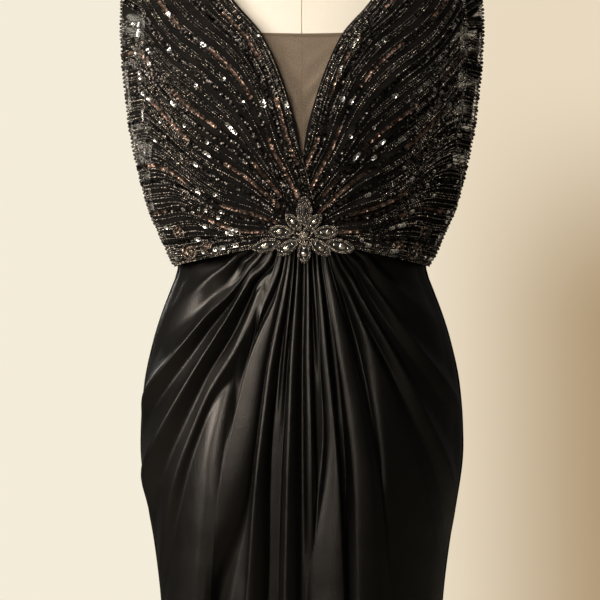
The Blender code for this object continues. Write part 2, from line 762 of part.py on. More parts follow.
def torso_ring(height):
    half_width, front, back = (
        float(section(FORM_SECTIONS, name, height)) for name in SECTION_COLUMNS[1:]
    )
    points = []
    for a in np.linspace(0, 2 * math.pi, TORSO_SIDES, endpoint=False):
        across, depth = math.cos(a), math.sin(a)
        reach = back if depth > 0 else front
        x = half_width * math.copysign(abs(across) ** (2 / TORSO_POWER), across)
        y = reach * math.copysign(abs(depth) ** (2 / TORSO_POWER), depth)
        points.append((x, y, height))
    return points


def raised(profile, height):
    return [(radius * MM, height + rise * MM) for radius, rise in profile]


def add_form():
    linen = material("linen_cover", (0.80, 0.72, 0.58), 0.85)
    wood = material("turned_wood", (0.24, 0.13, 0.07), 0.45)
    steel = material("painted_steel", (0.06, 0.06, 0.06), 0.4, 0.6)
    heights = column(FORM_SECTIONS, SECTION_COLUMNS, "height")
    add_stack("form_torso", [torso_ring(height) for height in heights], linen)

    cap = raised(CAP_PROFILE, heights[-1] + SEAM)
    add_turned("form_neck_cap", cap, wood, TURNED_SIDES)
    foot = raised(POLE_FOOT_PROFILE, BASE_THICKNESS + SEAM)
    top = raised(POLE_TOP_PROFILE, heights[0] - SEAM)
    add_turned("form_pole", foot + top, steel, TURNED_SIDES)
    plate = [
        (BASE_RADIUS, 0),
        (BASE_RADIUS, BASE_THICKNESS - BASE_BEVEL),
        (BASE_RADIUS - BASE_BEVEL, BASE_THICKNESS),
    ]
    add_turned("form_base", plate, steel, BASE_SIDES)


# The gown's cloth


def add_bodice():
    net = material("beaded_net", (0.02, 0.02, 0.022), 0.35)
    add_cloth("bodice_front_left", front_panel(under=True), net)
    add_cloth("bodice_front_right", mirrored(front_panel(under=False)), net)
    add_cloth("bodice_back_left", back_panel(), net)
    add_cloth("bodice_back_right", mirrored(back_panel()), net)


def add_lining():
    cloth = material("black_lining", (0.012, 0.012, 0.014), 0.6)
    add_cloth("lining_front_left", lining_front(), cloth)
    add_cloth("lining_front_right", mirrored(lining_front()), cloth)
    add_cloth("lining_back_left", lining_back(), cloth)
    add_cloth("lining_back_right", mirrored(lining_back()), cloth)
    insert = material("taupe_net", (0.26, 0.21, 0.16), 0.8)
    add_cloth("neck_insert", neck_insert(), insert)


def add_skirt():
    satin = material("black_satin", (0.015, 0.015, 0.017), 0.3)
    add_cloth("skirt_front", skirt_front(), satin)
    add_cloth("skirt_back_left", skirt_back(), satin)
    add_cloth("skirt_back_right", mirrored(skirt_back()), satin)


# The applique


def applique_place():
    """Local X is across, local Y is up the applique, and local Z faces the viewer."""
    across = Vector((1, 0, 0))
    up = Vector((0, -math.sin(APPLIQUE_LEAN), math.cos(APPLIQUE_LEAN)))
    facing = across.cross(up)
    depth = float(depth_at(BODICE_SECTIONS, 0.0, APPLIQUE_HEIGHT, -1, TORSO_POWER))
    origin = Vector((APPLIQUE_CENTRE_X, depth, APPLIQUE_HEIGHT)) + facing * APPLIQUE_CLEARANCE
    turn = Matrix((across, up, facing)).transposed().to_4x4()
    return Matrix.Translation(origin) @ turn


def leaf_ring(length, width, height):
    """A pointed oval with its tips on the local X axis."""
    points = []
    for a in np.linspace(0, 2 * math.pi, LEAF_POINTS, endpoint=False):
        across = math.copysign(abs(math.sin(a)) ** LEAF_TIP_POWER, math.sin(a))
        points.append((length / 2 * math.cos(a), width / 2 * across, height))
    return points


def add_applique():
    pewter = material("beaded_pewter", (0.32, 0.28, 0.24), 0.4, 0.6)
    crystal = material("champagne_crystal", (0.62, 0.56, 0.48), 0.1)
    felt = material("backing_felt", (0.02, 0.02, 0.02), 0.9)
    place = applique_place()
    front = BACKING_THICKNESS + SEAM
    rays = []
    for row in LEAVES:
        leaf = dict(zip(LEAF_COLUMNS, row))
        length, width = leaf["length_mm"] * MM, leaf["width_mm"] * MM
        rings = [
            leaf_ring(length * length_share, width * width_share, front + rise * MM)
            for length_share, width_share, rise in LEAF_SECTIONS
        ]
        x, y = leaf["x_mm"] * MM, leaf["y_mm"] * MM
        local = Matrix.Translation((x, y, 0))
        local @= Matrix.Rotation(math.radians(leaf["points_deg"]), 4, "Z")
        add_stack(f"applique_leaf_{leaf['name']}", rings, pewter, place @ local)
        rays.append((math.atan2(y, x) % (2 * math.pi), math.hypot(x, y)))

    rays.sort()
    outline = []
    for (angle, reach), (next_angle, next_reach) in zip(rays, rays[1:] + rays[:1]):
        middle = angle + (next_angle - angle) % (2 * math.pi) / 2
        outline.append((angle, reach))
        outline.append((middle, BACKING_NOTCH * min(reach, next_reach)))
    rings = [
        [(reach * math.cos(a), reach * math.sin(a), height) for a, reach in outline]
        for height in (0, BACKING_THICKNESS)
    ]
    add_stack("applique_backing", rings, felt, place)

    rings = [
        ring(BOSS_RADIUS * share, front + rise * MM, BOSS_SIDES) for share, rise in BOSS_SECTIONS
    ]
    add_stack("applique_boss", rings, crystal, place)


# The zip


def zip_tape():
    """A strip behind the centre-back seam, from the neck to below the waist."""
    across = np.linspace(1, -1, 3)[:, None]
    z = np.linspace(ZIP_TOP_HEIGHT, ZIP_LOW_HEIGHT, ZIP_STEPS + 1)[None, :]
    across, z = np.broadcast_arrays(across, z)
    lining = section(BODICE_SECTIONS, "back", z) - LINING_DEPTH - LINING_WALL
    satin = section(SKIRT_SECTIONS, "back", z) - SATIN_WALL
    y = np.minimum(satin, lining)
    y = np.where(z > WAIST_SIDE_HEIGHT + ZIP_WAIST_REACH, lining, y)
    y = np.where(z < WAIST_SIDE_HEIGHT - ZIP_WAIST_REACH, satin, y)
    x = across * ZIP_WIDTH / 2
    pair = []
    shoulder = ZIP_SHOULDER_DEPTH * ease(z, *ZIP_SHOULDER_SPAN)
    sloped = shoulder + ZIP_HIP_DEPTH * (z < WAIST_SIDE_HEIGHT)
    for depth in (ZIP_DEPTH, ZIP_DEPTH + ZIP_THICKNESS):
        pair.append(np.stack([x, y - depth - sloped - ZIP_BEND * across**2, z], axis=-1))
    return pair


def zip_place():
    """Local Z runs up the seam and local Y points away from the back."""
    low, high = SLIDER_HEIGHT - SLIDER_HALF_LENGTH, SLIDER_HEIGHT + SLIDER_HALF_LENGTH
    low_y, high_y = (float(section(BODICE_SECTIONS, "back", z)) for z in (low, high))
    up = Vector((0, high_y - low_y, high - low)).normalized()
    across = Vector((1, 0, 0))
    away = up.cross(across)
    origin = Vector((0, (low_y + high_y) / 2, SLIDER_HEIGHT)) + away * SLIDER_CLEARANCE
    turn = Matrix((across, away, up)).transposed().to_4x4()
    return Matrix.Translation(origin) @ turn


def add_zip():
    tape = material("zip_tape", (0.02, 0.02, 0.02), 0.8)
    steel = material("zip_metal", (0.05, 0.05, 0.055), 0.3, 0.9)
    add_cloth("zip_tape", zip_tape(), tape)
    place = zip_place()

    end = SLIDER_HALF_LENGTH
    plate = [(0, -end), (SLIDER_PLATE, -end), (SLIDER_PLATE, end), (0, end)]
    slider = add_prism("zip_slider", plate, SLIDER_HALF_WIDTH, steel, place)
    foot = SLIDER_PLATE / 2
    under = SLIDER_PLATE + BRIDGE_ROOM
    top = under + BRIDGE_TOP
    leg = BRIDGE_HALF_LENGTH - BRIDGE_LEG
    arch = [
        (foot, -BRIDGE_HALF_LENGTH),
        (top, -BRIDGE_HALF_LENGTH),
        (top, BRIDGE_HALF_LENGTH),
        (foot, BRIDGE_HALF_LENGTH),
        (foot, leg),
        (under, leg),
        (under, -leg),
        (foot, -leg),
    ]
    bridge = add_prism("bridge_guide", arch, BRIDGE_HALF_WIDTH, None, place)
    combine(slider, bridge, "UNION")

    hinge = place @ Matrix.Translation((0, PULL_AXIS, 0))
    half = PULL_THICKNESS / 2
    right_edge = [
        (PULL_HALF_WIDTH, half),
        (PULL_HALF_WIDTH, -EYE_LENGTH - EYE_RIM),
        (PULL_TIP_HALF_WIDTH, -PULL_LENGTH + PULL_TIP_BEVEL),
        (PULL_TIP_HALF_WIDTH / 2, -PULL_LENGTH),
    ]
    tab = [(-x, z) for x, z in right_edge] + right_edge[::-1]
    rings = [[(x, y, z) for x, z in tab] for y in (-half, half)]
    pull = add_stack("zip_pull", rings, steel, hinge)
    through = PULL_THICKNESS
    eye = [
        (-through, -EYE_LENGTH),
        (through, -EYE_LENGTH),
        (through, -half),
        (-through, -half),
    ]
    cutter = add_prism("eye_guide", eye, EYE_HALF_WIDTH, None, hinge)
    combine(pull, cutter, "DIFFERENCE")


def main():
    for old in list(bpy.data.objects):
        bpy.data.objects.remove(old)
    add_form()
    add_lining()
    add_bodice()
    add_skirt()
    add_applique()
    add_zip()


main()
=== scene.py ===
# Evening gown on a limbless dress form: the finish of every surface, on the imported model.
import math

import bmesh
import bpy
import numpy as np
from mathutils import Matrix, Vector

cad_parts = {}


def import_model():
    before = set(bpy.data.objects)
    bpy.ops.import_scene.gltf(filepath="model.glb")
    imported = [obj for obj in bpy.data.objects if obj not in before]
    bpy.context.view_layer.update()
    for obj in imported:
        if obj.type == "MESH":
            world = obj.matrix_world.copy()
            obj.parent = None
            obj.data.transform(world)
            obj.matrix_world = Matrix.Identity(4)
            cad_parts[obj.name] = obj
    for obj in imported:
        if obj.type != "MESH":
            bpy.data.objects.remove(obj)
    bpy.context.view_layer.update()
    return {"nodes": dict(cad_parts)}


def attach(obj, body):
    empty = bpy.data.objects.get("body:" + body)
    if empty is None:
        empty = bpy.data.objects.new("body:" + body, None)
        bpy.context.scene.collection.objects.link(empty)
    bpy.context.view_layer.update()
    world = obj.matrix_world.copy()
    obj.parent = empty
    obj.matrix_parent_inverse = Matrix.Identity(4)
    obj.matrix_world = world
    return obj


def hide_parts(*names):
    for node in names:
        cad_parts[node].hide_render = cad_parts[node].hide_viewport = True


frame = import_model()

MM = 0.001
HALF_SEAM = 0.2 * MM

# The photograph's frame: its width and its centre at the plane of the side seams.
CAMERA_DISTANCE = 2.0
FRAME_WIDTH = 0.666
FRAME_CENTRE_X = -0.0022
FRAME_CENTRE_HEIGHT = 1.018
SENSOR_WIDTH = 36.0

# The floor's own light, which only the camera sees, so that it stays pale in narrow beams.
FLOOR_GLOW = 0.62
FLOOR_RADIUS = 3.6
ROUND_STEPS = 96
WORLD_LIGHT = 0.05
WORLD_COLOUR = (1.0, 0.94, 0.84, 1)
# The surround's colours: pale on the left, darker on the right as painted shade, and a painted
# shadow of the gown low on the right.
WALL_LEFT = (0.905, 0.840, 0.700)
WALL_RIGHT = (0.81, 0.695, 0.525)
WALL_SHADE = (0.42, 0.305, 0.175)
LIGHT_COLUMNS = ("name", "place", "aim", "width", "height", "watts", "colour", "spread_deg")
LIGHTS = [
    ("key", (-3.1, -1.05, 2.05), (0, 0, 0.95), 0.8, 2.0, 13, (1.0, 0.94, 0.87), 50),
    ("soft", (-1.35, -2.8, 1.7), (0, 0, 0.95), 0.9, 1.4, 6.0, (1.0, 0.93, 0.85), 50),
    ("top", (-0.5, -1.9, 3.9), (0, 0, 1.35), 0.8, 0.8, 1.2, (1.0, 0.93, 0.84), 40),
    ("back", (-0.7, 2.9, 2.1), (0, 0, 0.9), 1.2, 1.8, 9, (1.0, 0.96, 0.9), 80),
]

# Walls and layers, measured inwards from the outside of the bodice net.
UNDERLAP = 1.7 * MM
UNDERLAP_EDGE = (20 * MM, 42 * MM)
LINING_DEPTH = 4.0 * MM
INSERT_DEPTH = 6.8 * MM

# Heights above the floor.
HEM_HEIGHT = 12 * MM
WAIST_SIDE_HEIGHT = 1.0625
WAIST_FRONT_HEIGHT = 1.0780
WAIST_TUCK = 6 * MM
WAIST_DROP = 10 * MM
BODICE_HEM_HEIGHT = 1.0556
NECK_SIDE_HEIGHT = 1.4438
BACK_NECK_HEIGHT = 1.385
INSERT_TOP_HEIGHT = 1.303
INSERT_LOW_HEIGHT = 1.160
INSERT_MARGIN = 9 * MM
INSERT_SAG = 1.5 * MM
INSERT_WAVES = 4.5
INSERT_WAVE_DEPTH = 3.0 * MM
INSERT_HEM_SHARE = 0.024
ARMHOLE_LOW_HEIGHT = 1.150
ARMHOLE_TOP_HEIGHT = 1.375
ARMHOLE_HALF_WIDTH = 24 * MM

# The satin's thickness, and the powers of the torso's and skirt's superellipse sections.
SATIN_WALL = 1.2 * MM

TORSO_POWER = 2.3
SKIRT_POWER = 2.15

# The same sections, neckline and drape lines as the solids are built from.
SECTION_COLUMNS = ("height", "half_width", "front", "back")
FORM_SECTIONS = [
    (0.780, 0.146, 0.080, 0.098),
    (0.787, 0.157, 0.091, 0.110),
    (0.800, 0.162, 0.097, 0.117),
    (0.860, 0.166, 0.102, 0.123),
    (0.940, 0.156, 0.100, 0.112),
    (1.000, 0.137, 0.092, 0.094),
    (1.060, 0.121, 0.085, 0.080),
    (1.120, 0.126, 0.097, 0.082),
    (1.160, 0.138, 0.114, 0.086),
    (1.200, 0.148, 0.124, 0.090),
    (1.240, 0.154, 0.1205, 0.096),
    (1.280, 0.159, 0.1090, 0.101),
    (1.320, 0.165, 0.0905, 0.102),
    (1.345, 0.169, 0.0770, 0.096),
    (1.365, 0.172, 0.0650, 0.088),
    (1.385, 0.1725, 0.0530, 0.077),
    (1.397, 0.1700, 0.0450, 0.066),
    (1.4082, 0.1590, 0.0380, 0.057),
    (1.4182, 0.1430, 0.0320, 0.048),
    (1.4282, 0.1240, 0.0270, 0.041),
    (1.4360, 0.1050, 0.0260, 0.037),
    (1.4430, 0.0880, 0.0290, 0.037),
    (1.4530, 0.0730, 0.0340, 0.040),
    (1.4700, 0.0630, 0.0400, 0.043),
    (1.5000, 0.0570, 0.0430, 0.045),
    (1.5300, 0.0560, 0.0440, 0.045),
]
BODICE_SECTIONS = [
    (1.0450, 0.1375, 0.1055, 0.0965),
    (1.0556, 0.1400, 0.1080, 0.0985),
    (1.0678, 0.1465, 0.1130, 0.1020),
    (1.0833, 0.1530, 0.1165, 0.1045),
    (1.1155, 0.1671, 0.1245, 0.1090),
    (1.1600, 0.1798, 0.1330, 0.1125),
    (1.2065, 0.1894, 0.1370, 0.1155),
    (1.2400, 0.1940, 0.1325, 0.1180),
    (1.2676, 0.1976, 0.1240, 0.1190),
    (1.2800, 0.1985, 0.1192, 0.1190),
    (1.3197, 0.2002, 0.1000, 0.1160),
    (1.3450, 0.1990, 0.0860, 0.1090),
    (1.3650, 0.1960, 0.0740, 0.1010),
    (1.3850, 0.1900, 0.0610, 0.0895),
    (1.4020, 0.1800, 0.0500, 0.0755),
    (1.4130, 0.1660, 0.0430, 0.0650),
    (1.4230, 0.1500, 0.0365, 0.0550),
    (1.4330, 0.1320, 0.0310, 0.0450),
    (1.4438, 0.1080, 0.0240, 0.0350),
    (1.4520, 0.0850, 0.0180, 0.0250),
]
SKIRT_SECTIONS = [
    (0.0120, 0.2080, 0.1880, 0.2000),
    (0.1000, 0.1940, 0.1700, 0.1820),
    (0.2000, 0.1770, 0.1500, 0.1610),
    (0.3000, 0.1620, 0.1320, 0.1420),
    (0.4000, 0.1515, 0.1190, 0.1280),
    (0.5000, 0.1475, 0.1110, 0.1210),
    (0.6000, 0.1500, 0.1100, 0.1220),
    (0.6860, 0.1554, 0.1115, 0.1270),
    (0.7540, 0.1636, 0.1135, 0.1320),
    (0.7840, 0.1690, 0.1145, 0.1345),
    (0.8580, 0.1782, 0.1160, 0.1370),
    (0.8830, 0.1776, 0.1160, 0.1350),
    (0.9240, 0.1742, 0.1145, 0.1290),
    (0.9750, 0.1635, 0.1115, 0.1170),
    (1.0050, 0.1541, 0.1090, 0.1100),
    (1.0300, 0.1446, 0.1065, 0.1030),
    (1.0510, 0.1372, 0.1045, 0.0955),
    (1.0625, 0.1360, 0.1045, 0.0940),
    (1.0800, 0.1340, 0.1050, 0.0935),
]
NECKLINE_COLUMNS = ("height", "from_centre")
NECKLINE = [
    (1.1010, -0.0079),
    (1.1150, -0.0140),
    (1.1350, -0.0100),
    (1.1570, -0.0050),
    (1.1745, 0.0015),
    (1.2298, 0.0145),
    (1.2970, 0.0415),
    (1.3360, 0.0722),
    (1.3750, 0.0930),
    (1.4100, 0.1030),
    (NECK_SIDE_HEIGHT, 0.1080),
]
GATHER_X = 0.5 * MM
GATHER_HEIGHT = 1.088
GATHER_HALF_WIDTH = 13 * MM
GATHER_HALF_HEIGHT = 17 * MM
NET_START_DEG = 130
LINING_START_DEG = 86
GATHER_END_DEG = -28
FRONT_CROWDING = 1.35
BACK_RISE = 1.4
LINING_LEAST_X = 0.5 * MM
LINING_WAIST_SHARE = 0.95
LINING_HEM_RISE = 1.5 * MM
LINING_REACH = 0.988
LINING_CROWDING = 1.3
BACK_CROWDING = 1.6
SHEER_REACH = 0.135
SHEER_STARTS = (0.12, 0.30)
SHEER_ENDS = (0.62, 0.86)

DRAPE_COLUMNS = ("across", "waist_deg", "edge")
DRAPE_LINES = [
    (0.00, 0.0, 0.00),
    (0.18, 3.2, 0.16),
    (0.36, 6.5, 0.34),
    (0.46, 8.5, 1.00),
    (0.54, 10.5, 1.52),
    (0.64, 13.0, 1.672),
    (0.75, 16.5, 1.794),
    (0.84, 20.0, 1.861),
    (0.93, 24.5, 1.955),
    (1.00, 30.0, 2.00),
]
SIDE_DRAPE_SPAN = (0.30, 0.54)
FALLING_CROWDING = 2.2
SIDE_RISE = 0.62
# The skirt's folds on the wearer's right and left. Each crest leaves the gathers at start,
# runs along settled, and comes to end. It falls away over its reach on either side, straight
# where the shape is 1 and from a flat top where it is more. A fold fades out where its end
# height is 0.
FOLD_COLUMNS = (
    "start", "settled", "end", "inner_reach", "inner_end", "outer_reach", "outer_end",
    "inner_shape", "outer_shape", "top_mm", "middle_mm", "end_mm", "fade_from", "fade_to",
)
FOLDS_RIGHT = [
    (0.060, 0.090, 0.104, 0.080, 0.096, 0.036, 0.044, 1.9, 1.2, 7.5, 13.0, 14.0, 0.55, 1.0),
    (0.135, 0.165, 0.170, 0.030, 0.030, 0.030, 0.030, 1.3, 1.3, 7.5, 4.0, 0.0, 0.08, 0.20),
    (0.214, 0.300, 0.370, 0.080, 0.140, 0.045, 0.050, 1.7, 1.1, 8.0, 14.0, 15.0, 0.55, 1.0),
    (0.292, 0.428, 0.514, 0.130, 0.060, 0.040, 0.100, 3.0, 0.9, 8.0, 15.0, 18.0, 0.30, 0.55),
    (0.374, 0.542, 0.614, 0.045, 0.040, 0.070, 0.060, 1.3, 1.1, 8.0, 11.0, 8.0, 0.55, 1.0),
    (0.440, 0.600, 0.640, 0.040, 0.040, 0.035, 0.035, 1.4, 1.2, 7.0, 4.0, 0.0, 0.10, 0.26),
    (0.526, 0.690, 0.704, 0.045, 0.050, 0.070, 0.080, 0.9, 0.6, 8.0, 17.0, 14.0, 0.70, 1.0),
    (0.590, 0.735, 0.750, 0.035, 0.035, 0.040, 0.040, 1.4, 1.3, 6.5, 3.0, 0.0, 0.08, 0.24),
    (0.666, 0.752, 0.812, 0.040, 0.048, 0.060, 0.070, 0.9, 0.6, 7.5, 16.0, 12.0, 0.70, 1.0),
    (0.750, 0.835, 0.860, 0.035, 0.035, 0.040, 0.040, 1.4, 1.3, 5.0, 3.0, 0.0, 0.10, 0.30),
    (0.850, 0.906, 0.914, 0.034, 0.045, 0.046, 0.056, 0.9, 0.7, 5.5, 10.0, 3.0, 0.40, 0.80),
]
FOLDS_LEFT = [
    (0.100, 0.060, 0.060, 0.050, 0.050, 0.034, 0.034, 2.0, 1.3, 7.5, 12.0, 0.0, 0.20, 0.36),
    (0.190, 0.165, 0.170, 0.040, 0.040, 0.035, 0.035, 1.7, 1.2, 7.0, 5.0, 0.0, 0.06, 0.16),
    (0.285, 0.240, 0.272, 0.075, 0.245, 0.034, 0.030, 1.9, 1.3, 8.0, 15.0, 16.0, 0.55, 1.0),
    (0.360, 0.330, 0.340, 0.040, 0.040, 0.035, 0.035, 1.4, 1.2, 7.0, 4.0, 0.0, 0.08, 0.22),
    (0.424, 0.406, 0.412, 0.080, 0.120, 0.050, 0.110, 1.9, 0.9, 8.0, 15.0, 16.0, 0.55, 1.0),
    (0.480, 0.505, 0.515, 0.040, 0.040, 0.036, 0.036, 1.4, 1.3, 7.0, 4.0, 0.0, 0.06, 0.16),
    (0.530, 0.592, 0.600, 0.060, 0.150, 0.040, 0.060, 1.5, 1.1, 7.5, 11.0, 6.0, 0.22, 0.52),
    (0.602, 0.676, 0.690, 0.055, 0.045, 0.034, 0.034, 1.3, 0.8, 7.5, 13.0, 7.0, 0.30, 0.80),
    (0.670, 0.752, 0.760, 0.040, 0.040, 0.036, 0.036, 1.4, 1.3, 6.5, 4.0, 0.0, 0.10, 0.30),
    (0.744, 0.822, 0.812, 0.060, 0.050, 0.034, 0.034, 1.2, 0.8, 6.5, 10.0, 6.0, 0.30, 0.80),
    (0.850, 0.906, 0.900, 0.050, 0.045, 0.030, 0.030, 1.2, 0.8, 5.5, 7.0, 3.0, 0.30, 0.80),
]
FOLD_WIDENS = (0.16, 0.36)
PLEAT_SHAPE = 2.8
PLEAT_OPENS = (0.07, 0.28)
FOLD_SETTLES = 0.13
FOLD_DRIFTS = (0.13, 0.44)
FOLD_GROWS = 0.26
VALLEY_DEPTH = 6.5 * MM
VALLEY_SPAN = (0.0, 0.20)
# Ripples over the folds: waves across, turns along, phase, and size in millimetres.
RIPPLES = [
    (37.0, 5.0, 0.3, 0.12),
    (23.0, 11.0, 4.1, 0.20),
]

FLARE_COLUMNS = ("degrees", "reach_deg", "height_mm")
SIDE_FLARES = [
    (46, 12, 9.0),
    (69, 13, 8.0),
]
FLARE_TOP_HEIGHT = 0.62
FLARE_SHARE = 0.6
SKIRT_CROWDING = 1.35
SIDE_SEAM_CALM_DEG = 72
SIDE_SEAM_CALM = 0.9
BACK_WAVES = 3
BACK_WAVE_DEPTH = 11 * MM
BACK_WAVE_SPAN = (0.05, 0.80)
SEAT_FOLDS = 2
SEAT_FOLD_DEPTH = 2 * MM
SEAT_FOLD_STARTS = (0.55, 0.85)
SEAT_FOLD_ENDS = (1.00, 1.06)

PLEAT_COLUMNS = ("across", "reach", "height_mm")
PLEATS = [
    (0.11, 0.060, 2.0),
    (0.26, 0.065, 2.8),
    (0.42, 0.070, 2.4),
    (0.57, 0.065, 3.0),
    (0.72, 0.060, 2.6),
    (0.86, 0.055, 2.2),
]
PLEAT_RISE = (0.02, 0.22)
PLEAT_FADE = (0.35, 0.85)

APPLIQUE_CENTRE_X = 1.5 * MM
APPLIQUE_HEIGHT = 1.0858
APPLIQUE_LEAN = math.radians(13)
APPLIQUE_CLEARANCE = 1.0 * MM
BACKING_THICKNESS = 0.9 * MM
LEAF_TIP_POWER = 1.35
LEAF_COLUMNS = ("name", "x_mm", "y_mm", "length_mm", "width_mm", "points_deg")
LEAVES = [
    ("top", 0.8, 26.6, 28.0, 14.4, 90),
    ("upper_left", -10.6, 14.3, 20.6, 9.8, 132),
    ("upper_right", 11.0, 14.3, 20.6, 9.8, 48),
    ("inner_left", -24.0, 4.2, 23.0, 12.2, 176),
    ("inner_right", 24.0, 3.9, 23.0, 12.2, 3),
    ("outer_left", -38.6, -10.4, 28.5, 12.8, 194),
    ("outer_right", 38.4, -10.9, 28.5, 12.8, 345),
    ("lower_left", -16.6, -12.4, 25.0, 11.6, 217),
    ("lower_right", 17.2, -12.6, 25.0, 11.6, 323),
    ("bottom", 0.6, -18.0, 21.0, 12.2, 270),
]

# Fine grids of the dressed pieces, as steps across and along.
TORSO_RINGS = 150
SIDE_RUN_STEPS = 400
NET_GRID = (120, 70)
BACK_GRID = (60, 80)
LINING_GRID = (48, 40)
INSERT_GRID = (48, 40)
SKIRT_GRID = (230, 165)
SKIRT_BACK_GRID = (90, 100)

# Bands of closer thread in the bodice net: their size each way, and how sharply they end.
NET_BAND_SCALE = (14, 14, 52)
NET_BAND_SPAN = (0.47, 0.55)

# Beadwork. A stripe is a few rows of beads side by side that fan out from the applique.
STRIPES = 24
BEAD_RADIUS = 1.05 * MM
BEAD_SIZE = (BEAD_RADIUS, BEAD_RADIUS * 0.9, BEAD_RADIUS * 0.9)
EDGE_BEAD_RADIUS = 1.8 * MM
EDGE_BEAD_PITCH = 4.4 * MM
BEAD_PITCH = 2.6 * MM
ROW_PITCH = 2.7 * MM
SEQUIN_SIZE = (2.2 * MM, 2.2 * MM, 2.2 * MM)
SEQUIN_HOLE = 0.22
SEQUIN_PITCH = 2.5 * MM
LEVEL_FROM = 0.86
BEAD_SEED = 7
BEAD_KINDS = ("black", "pewter", "bronze", "dark", "silver")
LINE_STEPS = 260
LINE_ENDS = (0.05, 0.997)
EDGE_ENDS = (0.06, 0.997)
BACK_LINE_STEPS = 220
SPREAD_STEP = 0.004
BRONZE_RUN = 0.12
BEAD_RISE = 0.7 * MM
SEQUIN_RISE = 1.2 * MM
FLASH_RISE = 2.0 * MM
EDGE_BEAD_RISE = 1.0 * MM
CURL_RISE = 1.4 * MM
CURL_STEPS = 160
BACK_BEAD_RISE = 0.9 * MM
EDGE_ROW = 0.985
SIDE_ROWS = (0.006, 0.018, 0.030)
SIDE_FLASHES = 0.012
BETWEEN_FROM = 0.30
BETWEEN_START = 150
FLASH_START = 0.22
WAVE_COUNT = 1.15
BACK_INSETS = (0.005, 0.016)
WAVE_SIZE = 0.034
BACK_RUN = 0.42

# Each beading's dark and light colour, roughness, share of metal and size of pattern.
BEADINGS = {
    "black": ("black beads", (0.016, 0.015, 0.013), (0.20, 0.18, 0.155), 0.20, 1.0, 260),
    "pewter": ("pewter beads", (0.10, 0.085, 0.07), (0.62, 0.55, 0.47), 0.22, 1.0, 260),
    "bronze": ("bronze sequins", (0.035, 0.024, 0.019), (0.20, 0.130, 0.095), 0.34, 0.9, 260),
    "dark": ("black sequins", (0.010, 0.009, 0.008), (0.075, 0.066, 0.058), 0.22, 1.0, 260),
    "silver": ("silver sequins", (0.72, 0.69, 0.65), (0.95, 0.92, 0.88), 0.25, 1.0, 260),
    "rim": ("pewter rims", (0.022, 0.019, 0.016), (0.56, 0.49, 0.41), 0.24, 1.0, 700),
    "stone": ("champagne stones", (0.45, 0.38, 0.29), (0.90, 0.84, 0.72), 0.06, 0.85, 160),
    "clear": ("clear stones", (0.80, 0.78, 0.74), (0.98, 0.96, 0.92), 0.05, 0.9, 160),
    "leaf": ("leaf thread", (0.004, 0.0035, 0.003), (0.015, 0.013, 0.011), 0.55, 0.0, 600),
}

# What each kind of stripe has, as rows: how many row pitches from its middle, and what.
STRIPE_ROWS = {
    "triple": [(-1, "black"), (0, "black"), (1, "black")],
    "sequins": [(-1.4, "black"), (0, "sequins"), (1.4, "black")],
    "mixed": [(-1, "black"), (0, "pewter"), (1, "black")],
    "dark": [(-1.4, "black"), (0, "dark sequins"), (1.4, "black")],
}
STRIPE_KINDS = ["triple", "sequins", "dark", "triple", "sequins", "mixed", "dark", "triple"]
GLINT_SHARE = 0.24
PEWTER_SHARE = 0.55
MISSING_SHARE = 0.03
ROW_ROOM = (0.30, 1.20, 0.60, 1.20)
BEAD_TURN = 0.6

# Beaded curls at the bodice's lower corner: centre, turns, and reach in millimetres.
CURLS = [
    ((0.1185, 1.0700), 2.2, 9.0),
    ((0.1320, 1.0900), 1.6, 7.0),
    ((0.1020, 1.0740), 1.5, 6.0),
]

# Each leaf's beaded rims, as how much smaller than the leaf, rise and bead radius in
# millimetres, and its stones, as shares of its length and width.
LEAF_RIMS = [
    (-1.4, 1.8, 0.95),
    (2.4, 2.5, 0.80),
]
LEAF_STONES = [
    (0.05, 0.17, 0.25),
    (-0.24, 0.05, 0.12),
    (0.28, 0.04, 0.10),
]
TOP_LEAF_RINGS = (6.2, 10.0)
TOP_LEAF_BEAD = 0.68 * MM
BOSS_RINGS = [
    (4.6, 2.2, 0.9),
    (2.6, 3.6, 0.8),
]
STONE_HEIGHT = 1.9 * MM
CLUSTER_BEADS = 230
CLUSTER_BEAD = 0.85 * MM
CLUSTER_REACH = (17 * MM, 13 * MM)


def column(table, columns, name):
    place = columns.index(name)
    return np.array([row[place] for row in table], float)


def smooth(at, places, values):
    """A curve through the table's points that never overshoots between them."""
    at = np.clip(np.asarray(at, float), places[0], places[-1])
    steps = np.diff(places)
    slopes = np.diff(values) / steps
    before, after = slopes[:-1], slopes[1:]
    same = before * after > 0
    near = 2 * steps[1:] + steps[:-1]
    far = steps[1:] + 2 * steps[:-1]
    mean = (near + far) / (near / np.where(same, before, 1) + far / np.where(same, after, 1))
    tangents = np.concatenate([slopes[:1], np.where(same, mean, 0), slopes[-1:]])
    cell = np.clip(np.searchsorted(places, at, side="right") - 1, 0, len(steps) - 1)
    step = steps[cell]
    t = (at - places[cell]) / step
    return (
        (1 + 2 * t) * (1 - t) ** 2 * values[cell]
        + t * (1 - t) ** 2 * step * tangents[cell]
        + t * t * (3 - 2 * t) * values[cell + 1]
        + t * t * (t - 1) * step * tangents[cell + 1]
    )


def section(table, name, height):
    heights = column(table, SECTION_COLUMNS, "height")
    return smooth(height, heights, column(table, SECTION_COLUMNS, name))


def ease(at, start, end):
    """0 before start, 1 after end, and a soft step between them."""
    t = np.clip((at - start) / (end - start), 0, 1)
    return t * t * (3 - 2 * t)


# Surfaces


def depth_at(table, x, height, side, power):
    """The y of the surface in front of the axis, side -1, or behind it, side 1."""
    half_width = section(table, "half_width", height)
    reach = section(table, "front" if side < 0 else "back", height)
    share = np.clip(np.abs(x) / half_width, 0, 1)
    return side * reach * (1 - share**power) ** (1 / power)


